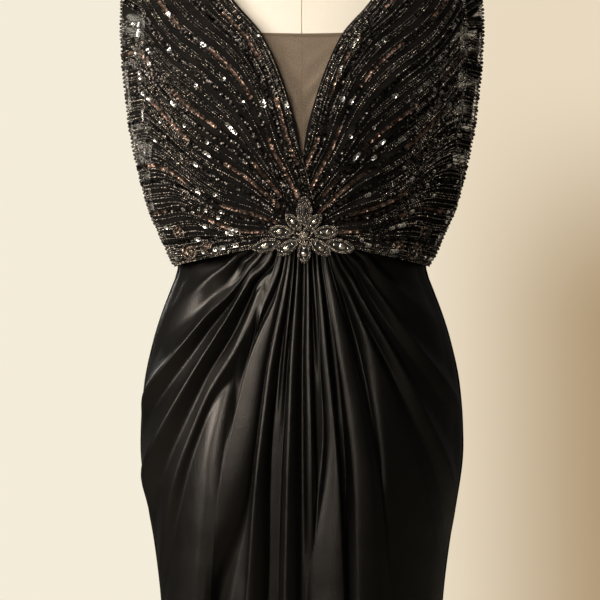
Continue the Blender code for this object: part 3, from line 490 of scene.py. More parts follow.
def outward(table, points, power):
    """The outward direction of a stack of superellipses at each point."""
    x, y, height = points[..., 0], points[..., 1], points[..., 2]
    step = 0.5 * MM

    def sizes(at):
        reach = np.where(y < 0, section(table, "front", at), section(table, "back", at))
        return section(table, "half_width", at), reach

    half_width, reach = sizes(height)
    (low_width, low_reach), (high_width, high_reach) = sizes(height - step), sizes(height + step)
    width_slope = (high_width - low_width) / (2 * step)
    reach_slope = (high_reach - low_reach) / (2 * step)
    u = np.clip(np.abs(x) / half_width, 0, 1)
    v = np.clip(np.abs(y) / reach, 0, 1)
    direction = np.stack(
        [
            np.sign(x) * u ** (power - 1) / half_width,
            np.sign(y) * v ** (power - 1) / reach,
            -(u**power) * width_slope / half_width - v**power * reach_slope / reach,
        ],
        axis=-1,
    )
    return direction / np.linalg.norm(direction, axis=-1, keepdims=True)


def ridges(table, columns, reach_names, across, heights):
    """The tallest of the table's rounded ridges at each place across a panel."""
    total = np.zeros(np.shape(across))
    for row, height in zip(table, heights):
        offset = across - row[0]
        inner, outer = (row[columns.index(name)] for name in reach_names)
        t = np.clip(np.where(offset < 0, -offset / inner, offset / outer), 0, 1)
        total = np.maximum(total, np.cos(t * math.pi / 2) ** 1.5 * height)
    return total


def panel_grid(steps):
    across = np.linspace(0, 1, steps[0] + 1)[:, None]
    along = np.linspace(0, 1, steps[1] + 1)[None, :]
    return np.broadcast_arrays(across, along)


def crowded(share, power):
    """The same steps, closer together towards 1."""
    return 1 - (1 - share) ** power


def mirrored(points):
    """The same panel on the wearer's other side."""
    return points * np.array([-1, 1, 1])


# Bodice surfaces


def side_run():
    """Heights down the outline from the neck side to the hem, and the run to each."""
    heights = np.linspace(NECK_SIDE_HEIGHT, BODICE_HEM_HEIGHT, SIDE_RUN_STEPS)
    widths = section(BODICE_SECTIONS, "half_width", heights)
    run = np.concatenate([[0], np.cumsum(np.hypot(np.diff(heights), np.diff(widths)))])
    return heights, run / run[-1]


def side_height(share):
    heights, run = side_run()
    return np.interp(share, run, heights)


def side_share(height):
    heights, run = side_run()
    return np.interp(height, heights[::-1], run[::-1])


def side_gap(height):
    """How far each edge stands from the side plane: a seam, or the open armhole."""
    middle = (ARMHOLE_LOW_HEIGHT + ARMHOLE_TOP_HEIGHT) / 2
    half = (ARMHOLE_TOP_HEIGHT - ARMHOLE_LOW_HEIGHT) / 2
    t = np.clip(np.abs(height - middle) / half, 0, 1)
    return HALF_SEAM + ARMHOLE_HALF_WIDTH * (1 - t**2) ** 1.2


def side_x(height, side):
    """Where the bodice surface comes within the gap of the side plane."""
    half_width = section(BODICE_SECTIONS, "half_width", height)
    reach = section(BODICE_SECTIONS, "front" if side < 0 else "back", height)
    share = np.clip(side_gap(height) / reach, 0, 1)
    return half_width * (1 - share**TORSO_POWER) ** (1 / TORSO_POWER)


def front_lines(across, along, start_deg, least_x):
    """x and height on a front: across 0 is the neckline and 1 the waist edge."""
    turn = np.radians(start_deg + (GATHER_END_DEG - start_deg) * across)
    start_x = GATHER_X + GATHER_HALF_WIDTH * np.cos(turn)
    start_z = GATHER_HEIGHT + GATHER_HALF_HEIGHT * np.sin(turn)
    end_z = side_height(across)
    end_x = side_x(end_z, -1)
    neck_heights = column(NECKLINE, NECKLINE_COLUMNS, "height")
    neck_places = np.maximum(column(NECKLINE, NECKLINE_COLUMNS, "from_centre"), least_x)
    neck_z = neck_heights[0] + (neck_heights[-1] - neck_heights[0]) * along
    straight = neck_places[0] + (neck_places[-1] - neck_places[0]) * along
    bulge = smooth(neck_z, neck_heights, neck_places) - straight
    x = start_x + (end_x - start_x) * along + bulge * (1 - across) ** 3
    return x, start_z + (end_z - start_z) * along


def bodice_points(x, z, side, moved_in):
    """Points on the bodice, moved inwards along its surface's own direction."""
    y = depth_at(BODICE_SECTIONS, x, z, side, TORSO_POWER)
    y = side * np.maximum(np.abs(y), HALF_SEAM)
    points = np.stack([x, y, z], axis=-1)
    normals = outward(BODICE_SECTIONS, points, TORSO_POWER)
    at_seam = np.abs(y) < 2 * MM
    normals[..., 1] = np.where(at_seam, 0, normals[..., 1])
    normals /= np.linalg.norm(normals, axis=-1, keepdims=True)
    return points - normals * np.broadcast_to(moved_in, x.shape)[..., None], normals


def front_surface(across, along, under, raised=0.0):
    """Points and outward directions on a front, raised off its net."""
    x, z = front_lines(across, along, NET_START_DEG, NECKLINE[1][1])
    heights = column(PLEATS, PLEAT_COLUMNS, "height_mm") * MM
    pleats = ridges(PLEATS, PLEAT_COLUMNS, ("reach", "reach"), across, heights)
    lift = pleats * ease(along, *PLEAT_RISE) * (1 - ease(along, *PLEAT_FADE))
    if under:
        clear = ease(x, *UNDERLAP_EDGE)
        lift = lift * clear - UNDERLAP * (1 - clear)
    return bodice_points(x, z, -1, -lift - raised)


def back_lines(across, along):
    """x and height on a back: across 0 is the centre back, and along 1 the neckline."""
    end_z = side_height(1 - along)
    centre_z = BODICE_HEM_HEIGHT + (BACK_NECK_HEIGHT - BODICE_HEM_HEIGHT) * along
    x = HALF_SEAM + (side_x(end_z, 1) - HALF_SEAM) * across
    return x, centre_z + (end_z - centre_z) * across**BACK_RISE


def back_surface(across, along, raised=0.0):
    x, z = back_lines(across, along)
    return bodice_points(x, z, 1, -raised)


def lining_share(across):
    """How far along each line the lining goes before the sheer sleeve begins."""
    sheer = ease(across, *SHEER_STARTS) * (1 - ease(across, *SHEER_ENDS))
    return LINING_REACH - SHEER_REACH * sheer


def lining_front():
    across, along = panel_grid(LINING_GRID)
    along = crowded(along, LINING_CROWDING) * lining_share(across)
    x, z = front_lines(across, along, LINING_START_DEG, LINING_LEAST_X)
    depth = LINING_DEPTH - LINING_HEM_RISE * ease(across, LINING_WAIST_SHARE - 0.1, 1)
    return bodice_points(x, z, -1, depth)[0]


def lining_back():
    across, along = panel_grid(LINING_GRID)
    along = 1 - LINING_WAIST_SHARE * (1 - along)
    x, z = back_lines(crowded(across, BACK_CROWDING) * lining_share(1 - along), along)
    return bodice_points(x, z, 1, LINING_DEPTH)[0]


def insert_half_width(z):
    heights = column(NECKLINE, NECKLINE_COLUMNS, "height")
    return smooth(z, heights, column(NECKLINE, NECKLINE_COLUMNS, "from_centre")) + INSERT_MARGIN


def insert_points(across, along, raised):
    """across runs from -1 to 1 over the V neck's net, and along from its point up."""
    z = INSERT_LOW_HEIGHT + (INSERT_TOP_HEIGHT - INSERT_LOW_HEIGHT) * along
    sag = INSERT_SAG * along**2 * (1 - across**2)
    waves = np.sin(2 * math.pi * (INSERT_WAVES * along - 1.3 * np.abs(across) ** 1.5))
    raised = raised + INSERT_WAVE_DEPTH * waves * along * (1 - across**2) * (1.02 - along)
    return bodice_points(insert_half_width(z) * across, z - sag, -1, INSERT_DEPTH - raised)[0]


# Skirt surfaces


def skirt_points(theta, z, moved_out):
    """Points round the skirt: theta 0 is the front, and 90 degrees the side seam."""
    power = 2 / SKIRT_POWER
    half_width = section(SKIRT_SECTIONS, "half_width", z)
    front, back = section(SKIRT_SECTIONS, "front", z), section(SKIRT_SECTIONS, "back", z)
    reach = np.where(np.cos(theta) >= 0, front, back)
    x = half_width * np.sign(np.sin(theta)) * np.abs(np.sin(theta)) ** power
    y = -reach * np.sign(np.cos(theta)) * np.abs(np.cos(theta)) ** power
    points = np.stack([x, y, z], axis=-1)
    normals = outward(SKIRT_SECTIONS, points, SKIRT_POWER)
    return points + normals * moved_out[..., None]


def drape_lines(across, along):
    """The angle and height of a point on half of the skirt's front."""
    places = column(DRAPE_LINES, DRAPE_COLUMNS, "across")
    start = np.radians(smooth(across, places, column(DRAPE_LINES, DRAPE_COLUMNS, "waist_deg")))
    edge = smooth(across, places, column(DRAPE_LINES, DRAPE_COLUMNS, "edge"))
    end = np.minimum(edge, 1) * math.pi / 2
    end_z = HEM_HEIGHT + (WAIST_SIDE_HEIGHT - HEM_HEIGHT) * np.maximum(edge - 1, 0)
    falling = crowded(along, FALLING_CROWDING)
    turning = SIDE_RISE * along + (1 - SIDE_RISE) * along**4
    to_side = ease(across, *SIDE_DRAPE_SPAN)
    share = falling + (turning - falling) * to_side
    start_z = WAIST_FRONT_HEIGHT + WAIST_TUCK - WAIST_DROP * across
    return start + (end - start) * share, start_z + (end_z - start_z) * along


def fold_height(table, across, along):
    """The relief of a half skirt's folds, from the floor of the valleys between them."""
    total = np.zeros(across.shape)
    for row in table:
        fold = dict(zip(FOLD_COLUMNS, row))
        crest = fold["start"] + (fold["settled"] - fold["start"]) * ease(along, 0, FOLD_SETTLES)
        crest = crest + (fold["end"] - fold["settled"]) * ease(along, *FOLD_DRIFTS)
        height = fold["top_mm"] + (fold["middle_mm"] - fold["top_mm"]) * ease(along, 0, FOLD_GROWS)
        fade = ease(along, fold["fade_from"], fold["fade_to"])
        height = height + (fold["end_mm"] - height) * fade
        offset = across - crest
        inside = offset < 0
        widened = ease(along, *FOLD_WIDENS)
        inner = fold["inner_reach"] + (fold["inner_end"] - fold["inner_reach"]) * widened
        outer = fold["outer_reach"] + (fold["outer_end"] - fold["outer_reach"]) * widened
        reach = np.where(inside, inner, outer)
        shape = np.where(inside, fold["inner_shape"], fold["outer_shape"])
        shape = shape + (PLEAT_SHAPE - shape) * (1 - ease(along, *PLEAT_OPENS))
        t = np.clip(np.abs(offset) / reach, 0, 1)
        total = np.maximum(total, (1 - t**shape) * height * MM)
    soft = total.copy()
    for _ in range(2):
        soft[1:-1] = (soft[:-2] + 2 * soft[1:-1] + soft[2:]) / 4
    for waves, turns, phase, size in RIPPLES:
        soft = soft + size * MM * np.sin(across * waves + along * turns + phase)
    return soft - VALLEY_DEPTH * ease(along, *VALLEY_SPAN)


def flare_height(theta, z):
    heights = column(SIDE_FLARES, FLARE_COLUMNS, "height_mm") * MM
    reach = ("reach_deg", "reach_deg")
    waves = ridges(SIDE_FLARES, FLARE_COLUMNS, reach, np.degrees(theta), heights)
    return waves * (1 - ease(z, HEM_HEIGHT, FLARE_TOP_HEIGHT))


def half_skirt_front(table):
    across, along = panel_grid(SKIRT_GRID)
    along = along**SKIRT_CROWDING
    theta, z = drape_lines(across, along)
    at_side = ease(np.degrees(theta), SIDE_SEAM_CALM_DEG, 90)
    relief = fold_height(table, across, along) + FLARE_SHARE * flare_height(theta, z)
    relief = relief * (1 - SIDE_SEAM_CALM * at_side)
    points = skirt_points(theta, z, relief)
    points[..., 1] = np.minimum(points[..., 1], -HALF_SEAM)
    return points


def skirt_front():
    """Both halves, meeting at the centre front in one grid."""
    left = half_skirt_front(FOLDS_LEFT)
    right = mirrored(half_skirt_front(FOLDS_RIGHT))
    return np.concatenate([right[:0:-1], (right[:1] + left[:1]) / 2, left[1:]])


def skirt_back():
    across, along = panel_grid(SKIRT_BACK_GRID)
    theta = math.pi / 2 * (1 + across)
    z = WAIST_SIDE_HEIGHT + (HEM_HEIGHT - WAIST_SIDE_HEIGHT) * along
    waves = BACK_WAVE_DEPTH * (0.5 - 0.5 * np.cos(across * 2 * math.pi * BACK_WAVES))
    folds = SEAT_FOLD_DEPTH * (0.5 - 0.5 * np.cos(across * 2 * math.pi * SEAT_FOLDS))
    low = 1 - ease(z, *BACK_WAVE_SPAN)
    seat = ease(z, *SEAT_FOLD_STARTS) * (1 - ease(z, *SEAT_FOLD_ENDS))
    points = skirt_points(theta, z, waves * low + folds * seat)
    points[..., :2] = np.maximum(points[..., :2], HALF_SEAM)
    return points


# Materials


def new_material(name, colour, roughness, metallic=0.0, **settings):
    """A material and its shader."""
    made = bpy.data.materials.new(name)
    made.use_nodes = True
    shader = made.node_tree.nodes["Principled BSDF"]
    shader.inputs["Base Color"].default_value = (*colour, 1)
    shader.inputs["Roughness"].default_value = roughness
    shader.inputs["Metallic"].default_value = metallic
    for socket, value in settings.items():
        shader.inputs[socket.replace("_", " ")].default_value = value
    return made, shader


def add_node(made, kind, inputs=(), **settings):
    """A node of that kind, with values or links put on its sockets by name."""
    node = made.node_tree.nodes.new(kind)
    for name, value in settings.items():
        setattr(node, name, value)
    for name, value in dict(inputs).items():
        if isinstance(value, bpy.types.NodeSocket):
            made.node_tree.links.new(value, node.inputs[name])
        else:
            node.inputs[name].default_value = value
    return node


def object_place(made):
    return add_node(made, "ShaderNodeTexCoord").outputs["Object"]


def noise(made, scale, detail=2.0, stretch=None):
    place = object_place(made)
    if stretch:
        inputs = {"Vector": place, "Scale": stretch}
        place = add_node(made, "ShaderNodeMapping", inputs).outputs["Vector"]
    inputs = {"Vector": place, "Scale": scale, "Detail": detail}
    return add_node(made, "ShaderNodeTexNoise", inputs).outputs["Fac"]


def waves(made, scale, direction, distortion=0.0):
    inputs = {"Vector": object_place(made), "Scale": scale, "Distortion": distortion}
    return add_node(made, "ShaderNodeTexWave", inputs, bands_direction=direction).outputs["Fac"]


def from_centre(made):
    """How far a point is from the plane down the gown's middle."""
    split = add_node(made, "ShaderNodeSeparateXYZ", {"Vector": object_place(made)})
    inputs = {0: split.outputs["X"]}
    return add_node(made, "ShaderNodeMath", inputs, operation="ABSOLUTE").outputs[0]


def cells(made, scale):
    """How far a point is from the nearest edge of a random cell."""
    inputs = {"Vector": object_place(made), "Scale": scale}
    node = add_node(made, "ShaderNodeTexVoronoi", inputs, feature="DISTANCE_TO_EDGE")
    return node.outputs["Distance"]


def between(made, value, low, high, start=0.0, end=1.0):
    """The value mapped from low..high to start..end, and clamped."""
    inputs = {"Value": value, "From Min": low, "From Max": high, "To Min": start, "To Max": end}
    return add_node(made, "ShaderNodeMapRange", inputs, clamp=True).outputs["Result"]


def blended(made, share, first, second):
    """Colours, or the sockets that give them, mixed by share."""
    node = add_node(made, "ShaderNodeMix", data_type="RGBA")
    join(made, share, node.inputs["Factor"])
    colours = [socket for socket in node.inputs if socket.type == "RGBA"]
    for socket, colour in zip(colours, (first, second)):
        if isinstance(colour, bpy.types.NodeSocket):
            join(made, colour, socket)
        else:
            socket.default_value = (*colour, 1)
    return [socket for socket in node.outputs if socket.type == "RGBA"][0]


def tone(made, shader, share, first, second):
    """The shader's colour, mixed by share."""
    join(made, blended(made, share, first, second), shader.inputs["Base Color"])


def bump(made, shader, height, distance, strength=1.0, below=None):
    inputs = {"Height": height, "Distance": distance, "Strength": strength}
    if below is not None:
        inputs["Normal"] = below
    made_bump = add_node(made, "ShaderNodeBump", inputs).outputs["Normal"]
    made.node_tree.links.new(made_bump, shader.inputs["Normal"])
    return made_bump


def join(made, output, socket):
    made.node_tree.links.new(output, socket)


def satin_material():
    """Heavy satin: a dark ground, a broad soft warm highlight, and a faint crepe grain."""
    dark, light = (0.0012, 0.0011, 0.0009), (0.0024, 0.0021, 0.0018)
    ground = (0.0018, 0.0016, 0.0013)
    made, shader = new_material("black satin", ground, 0.38, Specular_IOR_Level=0.34)
    shader.inputs["Specular Tint"].default_value = (1.0, 0.92, 0.83, 1)
    tone(made, shader, noise(made, 9, 3), dark, light)
    join(made, between(made, noise(made, 30), 0.3, 0.7, 0.35, 0.42), shader.inputs["Roughness"])
    soft = bump(made, shader, noise(made, 38, 3), 1.8 * MM, 0.25)
    bump(made, shader, noise(made, 800, 2), 0.30 * MM, 0.6, soft)
    return made


def net_material(name, thread, gap_alpha, cell_scale, width, bands=False):
    """Fine net: opaque threads round open cells, and closer bands across it if asked."""
    made, shader = new_material(name, thread, 0.95, Specular_IOR_Level=0.03)
    threads = between(made, cells(made, cell_scale), width, width * 1.5, 1.0, gap_alpha)
    cover = threads
    if bands:
        band = between(made, noise(made, 1.0, stretch=NET_BAND_SCALE), *NET_BAND_SPAN)
        inputs = {0: threads, 1: band}
        cover = add_node(made, "ShaderNodeMath", inputs, operation="MAXIMUM").outputs[0]
    join(made, cover, shader.inputs["Alpha"])
    bump(made, shader, threads, 0.15 * MM, 0.6)
    return made


def lining_material():
    dark, light = (0.006, 0.0056, 0.0052), (0.010, 0.0094, 0.0088)
    ground = (0.008, 0.0075, 0.007)
    made, shader = new_material("black lining", ground, 0.8, Specular_IOR_Level=0.2)
    tone(made, shader, noise(made, 25, 3), dark, light)
    bump(made, shader, noise(made, 2200, 1), 0.1 * MM, 0.5)
    return made


def linen_material():
    """Stretched linen with a fine weave and a sewn seam down its centre."""
    made, shader = new_material("linen cover", (0.80, 0.70, 0.55), 0.85, Sheen_Weight=0.2)
    seam = between(made, from_centre(made), 0.25 * MM, 0.9 * MM, 1.0, 0.0)
    cloth = blended(made, noise(made, 14, 4), (0.86, 0.78, 0.65), (0.92, 0.85, 0.73))
    tone(made, shader, seam, cloth, (0.60, 0.50, 0.37))
    weave = bump(made, shader, waves(made, 190, "X", 1.5), 0.12 * MM, 0.35)
    weave = bump(made, shader, waves(made, 190, "Z", 1.5), 0.12 * MM, 0.35, weave)
    bump(made, shader, between(made, seam, 0, 1, 1, 0), 0.6 * MM, 0.8, weave)
    return made


def bead_material(name, dark, light, roughness, metallic, scale=260):
    """Small shining things, from dark to light by their place."""
    made, shader = new_material(name, dark, roughness, metallic)
    tone(made, shader, between(made, noise(made, scale, 1), 0.38, 0.62), dark, light)
    place = noise(made, scale * 1.7, 1)
    spread = between(made, place, 0.35, 0.65, roughness * 0.6, roughness * 1.5)
    join(made, spread, shader.inputs["Roughness"])
    return made


def wood_material():
    made, shader = new_material("turned wood", (0.24, 0.13, 0.07), 0.4, Coat_Weight=0.3)
    grain = noise(made, 2.2, 6.0, stretch=(60, 60, 9))
    share = between(made, grain, 0.35, 0.65)
    tone(made, shader, share, (0.14, 0.07, 0.035), (0.32, 0.18, 0.09))
    bump(made, shader, grain, 0.15 * MM, 0.3)
    return made


def tape_material():
    """Woven zip tape with the row of small teeth down its middle."""
    made, shader = new_material("zip tape", (0.012, 0.012, 0.012), 0.7)
    in_teeth = between(made, from_centre(made), 1.6 * MM, 2.0 * MM, 1.0, 0.0)
    tone(made, shader, in_teeth, (0.010, 0.010, 0.010), (0.035, 0.034, 0.033))
    join(made, between(made, in_teeth, 0, 1, 0.75, 0.35), shader.inputs["Roughness"])
    weave = bump(made, shader, noise(made, 1800, 1), 0.1 * MM, 0.5)
    bump(made, shader, waves(made, 160, "Z"), 0.4 * MM, 0.6, weave)
    return made


def metal_material(name, colour, roughness, metallic):
    made, shader = new_material(name, colour, roughness, metallic)
    worn = between(made, noise(made, 120, 4), 0.35, 0.7, roughness * 0.8, roughness * 1.3)
    join(made, worn, shader.inputs["Roughness"])
    bump(made, shader, noise(made, 900, 2), 0.05 * MM, 0.3)
    return made


# Pieces


def add_mesh(name, points, faces, material):
    mesh = bpy.data.meshes.new(name)
    mesh.from_pydata([tuple(p) for p in points], [], faces)
    mesh.materials.append(material)
    mesh.shade_smooth()
    made = bpy.data.objects.new(name, mesh)
    bpy.context.scene.collection.objects.link(made)
    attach(made, "root")
    return made


def add_grid(name, points, material, thickness=0.0):
    """A sheet over a grid of points, with a wall behind it where it has a thickness."""
    rows, count = points.shape[:2]
    index = np.arange(rows * count).reshape(rows, count)
    corners = [index[:-1, :-1], index[1:, :-1], index[1:, 1:], index[:-1, 1:]]
    faces = np.stack(corners, axis=-1).reshape(-1, 4).tolist()
    made = add_mesh(name, points.reshape(-1, 3), faces, material)
    if thickness:
        wall = made.modifiers.new("wall", "SOLIDIFY")
        wall.thickness = thickness
        wall.offset = -1
    return made


def dress(piece, slot, *nodes):
    if nodes:
        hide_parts(*nodes)


def flipped(points):
    """The same grid with its faces turned over."""
    return points[::-1]


def add_camera():
    data = bpy.data.cameras.new("camera")
    data.sensor_width = SENSOR_WIDTH
    data.lens = SENSOR_WIDTH * CAMERA_DISTANCE / FRAME_WIDTH
    camera = bpy.data.objects.new("camera", data)
    camera.location = (FRAME_CENTRE_X, -CAMERA_DISTANCE, FRAME_CENTRE_HEIGHT)
    camera.rotation_euler = (math.pi / 2, 0, 0)
    bpy.context.scene.collection.objects.link(camera)
    bpy.context.scene.camera = camera


def add_light(row):
    light = dict(zip(LIGHT_COLUMNS, row))
    data = bpy.data.lights.new(light["name"], "AREA")
    data.shape = "RECTANGLE"
    data.size, data.size_y = light["width"], light["height"]
    data.energy = light["watts"]
    data.color = light["colour"]
    data.spread = math.radians(light["spread_deg"])
    lamp = bpy.data.objects.new(light["name"], data)
    lamp.location = light["place"]
    direction = Vector(light["aim"]) - Vector(light["place"])
    lamp.rotation_euler = direction.to_track_quat("-Z", "Y").to_euler()
    bpy.context.scene.collection.objects.link(lamp)


def add_floor():
    """A pale round floor."""
    made, shader = new_material("floor", (0.80, 0.74, 0.63), 0.9)
    pale = blended(made, noise(made, 1.5), (0.78, 0.72, 0.61), (0.82, 0.76, 0.65))
    join(made, pale, shader.inputs["Base Color"])
    join(made, pale, shader.inputs["Emission Color"])
    seen = add_node(made, "ShaderNodeLightPath").outputs["Is Camera Ray"]
    join(made, between(made, seen, 0, 1, 0, FLOOR_GLOW), shader.inputs["Emission Strength"])
    turn = np.linspace(0, 2 * math.pi, ROUND_STEPS, endpoint=False)
    rim = np.stack([np.cos(turn), np.sin(turn), np.zeros(ROUND_STEPS)], axis=-1) * FLOOR_RADIUS
    mesh = bpy.data.meshes.new("floor")
    mesh.from_pydata([tuple(p) for p in rim], [], [list(range(ROUND_STEPS))])
    mesh.materials.append(made)
    floor = bpy.data.objects.new("floor", mesh)
    bpy.context.scene.collection.objects.link(floor)


def add_world():
    """A warm pale surround for the camera, with painted shade making it darker to the right and a
    painted shadow of the gown low on the right, and a faint even light.
    """
    world = bpy.data.worlds.new("studio")
    world.use_nodes = True
    bpy.context.scene.world = world
    world.node_tree.nodes.clear()
    place = add_node(world, "ShaderNodeTexCoord").outputs["Generated"]
    split = add_node(world, "ShaderNodeSeparateXYZ", {"Vector": place})

    def ramp(axis, low, high):
        inputs = {"Value": split.outputs[axis], "From Min": low, "From Max": high}
        node = add_node(world, "ShaderNodeMapRange", inputs, interpolation_type="SMOOTHSTEP")
        return node.outputs["Result"]

    def times(first, second):
        inputs = {0: first, 1: second}
        return add_node(world, "ShaderNodeMath", inputs, operation="MULTIPLY").outputs[0]

    # Painted shade darkens the surround towards the right, and a painted shadow of the gown darkens
    # it low on the right.
    wall = blended(world, ramp("X", -0.02, 0.12), WALL_LEFT, WALL_RIGHT)
    shade = times(ramp("X", 0.06, 0.18), ramp("Z", 0.133, -0.017))
    shade = times(shade, ramp("Y", 0.90, 0.96))
    wall = blended(world, shade, wall, WALL_SHADE)
    seen = add_node(world, "ShaderNodeBackground", {"Color": wall}).outputs[0]
    even = {"Color": WORLD_COLOUR, "Strength": WORLD_LIGHT}
    lit = add_node(world, "ShaderNodeBackground", even).outputs[0]
    path = add_node(world, "ShaderNodeLightPath").outputs["Is Camera Ray"]
    pick = add_node(world, "ShaderNodeMixShader", {0: path, 1: lit, 2: seen}).outputs[0]
    add_node(world, "ShaderNodeOutputWorld", {"Surface": pick})


def add_studio():
    """A pale floor, a warm pale surround, and soft light from the left."""
    bpy.context.scene.view_settings.view_transform = "Standard"
    for row in LIGHTS:
        add_light(row)
    add_floor()
    add_world()


# Form


def torso_points():
    """The covered torso as a grid of rings, from its underside to the neck's top."""
    heights = column(FORM_SECTIONS, SECTION_COLUMNS, "height")
    steps = np.concatenate([[heights[0]], np.linspace(heights[0], heights[-1], TORSO_RINGS)])
    turn = np.linspace(0, 2 * math.pi, ROUND_STEPS + 1)[None, :]
    z = steps[:, None]
    across, depth = np.cos(turn), np.sin(turn)
    front, back = section(FORM_SECTIONS, "front", z), section(FORM_SECTIONS, "back", z)
    reach = np.where(depth > 0, back, front)
    power = 2 / TORSO_POWER
    x = section(FORM_SECTIONS, "half_width", z) * np.sign(across) * np.abs(across) ** power
    y = reach * np.sign(depth) * np.abs(depth) ** power
    points = np.stack(np.broadcast_arrays(x, y, z), axis=-1)
    points[0, :, :2] *= 0.02
    return points


def add_form(linen, wood, steel):
    torso = add_grid("torso_cover", torso_points()[:, ::-1], linen)
    dress(torso, "linen_cover", "form_torso")
    frame["nodes"]["form_neck_cap"].data.materials[0] = wood
    for name in ("form_pole", "form_base"):
        frame["nodes"][name].data.materials[0] = steel


# Zip and bodice


def add_zip(tape, metal):
    """The zip keeps its own solids, with woven tape and worn black nickel on them."""
    frame["nodes"]["zip_tape"].data.materials[0] = tape
    for name in ("zip_slider", "zip_pull"):
        frame["nodes"][name].data.materials[0] = metal


def add_bodice(net, lining, insert, hem_net):
    across, along = panel_grid(NET_GRID)
    along = crowded(along, FRONT_CROWDING)
    for side in ("left", "right"):
        turn = mirrored if side == "right" else flipped
        front = front_surface(across, along, under=side == "left")[0]
        piece = add_grid(f"net_front_{side}", turn(front), net)
        dress(piece, "beaded_net", f"bodice_front_{side}")
        back_across, back_along = panel_grid(BACK_GRID)
        back = back_surface(crowded(back_across, BACK_CROWDING), back_along)[0]
        piece = add_grid(f"net_back_{side}", turn(back), net)
        dress(piece, "beaded_net", f"bodice_back_{side}")
        piece = add_grid(f"lining_front_{side}_cloth", turn(lining_front()), lining)
        dress(piece, "black_lining", f"lining_front_{side}")
        piece = add_grid(f"lining_back_{side}_cloth", turn(lining_back()), lining)
        dress(piece, "black_lining", f"lining_back_{side}")

    across, along = panel_grid(INSERT_GRID)
    piece = add_grid("insert_net", insert_points(2 * across - 1, along, 0.0), insert)
    dress(piece, "taupe_net", "neck_insert")
    rise = 1 - INSERT_HEM_SHARE * (1 - along)
    hem = add_grid("insert_hem", insert_points(2 * across - 1, rise, 0.35 * MM), hem_net)
    dress(hem, "taupe_net")


# Beadwork


def small_shape(subdivisions):
    """Corners and triangles of a ball of radius 1."""
    shape = bmesh.new()
    bmesh.ops.create_icosphere(shape, subdivisions=subdivisions, radius=1)
    corners = np.array([v.co[:] for v in shape.verts])
    faces = np.array([[v.index for v in f.verts] for f in shape.faces])
    shape.free()
    return corners, faces


def coarse_bead():
    corners = np.array([[1, 0, 0], [-1, 0, 0], [0, 1, 0], [0, -1, 0], [0, 0, 1], [0, 0, -1]])
    faces = [[0, 2, 4], [2, 1, 4], [1, 3, 4], [3, 0, 4], [2, 0, 5], [1, 2, 5], [3, 1, 5], [0, 3, 5]]
    return corners * 1.1, np.array(faces)


def sequin_shape(sides, hole):
    """A cupped disc of radius 1 with a hole, and z out of its face."""
    turn = np.linspace(0, 2 * math.pi, sides, endpoint=False)
    rim = np.stack([np.cos(turn), np.sin(turn), np.full(sides, 0.22)], axis=-1)
    inner = np.stack([hole * np.cos(turn), hole * np.sin(turn), np.zeros(sides)], axis=-1)
    after = np.roll(np.arange(sides), -1)
    here = np.arange(sides)
    faces = [[a, b, c] for a, b, c in zip(here, after, after + sides)]
    faces += [[a, b, c] for a, b, c in zip(here, after + sides, here + sides)]
    return np.concatenate([rim, inner]), np.array(faces)


def unit(vectors):
    return vectors / np.maximum(np.linalg.norm(vectors, axis=-1, keepdims=True), 1e-12)


def strew(name, shape, beads, material):
    """One mesh of copies of a shape. beads holds places, tangents, normals and sizes."""
    corners, faces = shape
    places, tangents, normals, sizes = (np.concatenate(part) for part in zip(*beads))
    normals = unit(normals)
    tangents = unit(tangents - normals * (tangents * normals).sum(-1, keepdims=True))
    sideways = np.cross(normals, tangents)
    frames = np.stack([tangents, sideways, normals], axis=1) * sizes[:, :, None]
    points = places[:, None] + np.einsum("ck,bkd->bcd", corners, frames)
    steps = np.arange(len(places))[:, None, None] * len(corners)
    mesh = bpy.data.meshes.new(name)
    triangles = (faces[None] + steps).reshape(-1, 3)
    mesh.vertices.add(points.size // 3)
    mesh.vertices.foreach_set("co", points.ravel())
    mesh.loops.add(triangles.size)
    mesh.loops.foreach_set("vertex_index", triangles.ravel())
    mesh.polygons.add(len(triangles))
    mesh.polygons.foreach_set("loop_start", np.arange(len(triangles)) * 3)
    mesh.update(calc_edges=True)
    mesh.materials.append(material)
    made = bpy.data.objects.new(name, mesh)
    bpy.context.scene.collection.objects.link(made)
    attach(made, "root")


def bead_shapes(bead, sides, silver):
    disc = sequin_shape(sides, SEQUIN_HOLE)
    return {"black": bead, "pewter": bead, "bronze": disc, "dark": disc, "silver": silver}


def strew_side(beads, shapes, finishes, face, side):
    """One mesh for each finish, turned over for the wearer's right side."""
    for kind, group in beads.items():
        if side == "right":
            group = [(mirrored(p), mirrored(t), mirrored(n), s) for p, t, n, s in group]
        strew(f"{kind}_beads_{face}_{side}", shapes[kind], group, finishes[kind])


def paced(points, pitch, rng, jitter=0.08):
    """Fractional indices at an even pitch along a line of points."""
    run = np.concatenate([[0], np.cumsum(np.linalg.norm(np.diff(points, axis=0), axis=-1))])
    marks = np.arange(pitch / 2, run[-1], pitch)
    marks = marks + rng.uniform(-jitter, jitter, len(marks)) * pitch
    return np.interp(marks, run, np.arange(len(points)))


def sampled(arrays, marks):
    """Each array's rows at fractional indices."""
    here = np.arange(len(arrays[0]))
    return [np.stack([np.interp(marks, here, v[:, k]) for k in range(3)], -1) for v in arrays]


def levelled(across, along):
    """across changed past LEVEL_FROM so that the line goes on level round the side."""
    turn = np.radians(NET_START_DEG + (GATHER_END_DEG - NET_START_DEG) * across)
    start_z = GATHER_HEIGHT + GATHER_HALF_HEIGHT * np.sin(turn)
    bend = np.searchsorted(along, LEVEL_FROM)
    level_z = start_z[bend] + (side_height(across[bend]) - start_z[bend]) * LEVEL_FROM
    level = side_share(start_z + (level_z - start_z) / np.maximum(along, LEVEL_FROM))
    weight = ease(across[bend], 0.20, 0.36) * (along > LEVEL_FROM)
    return across + (level - across) * weight


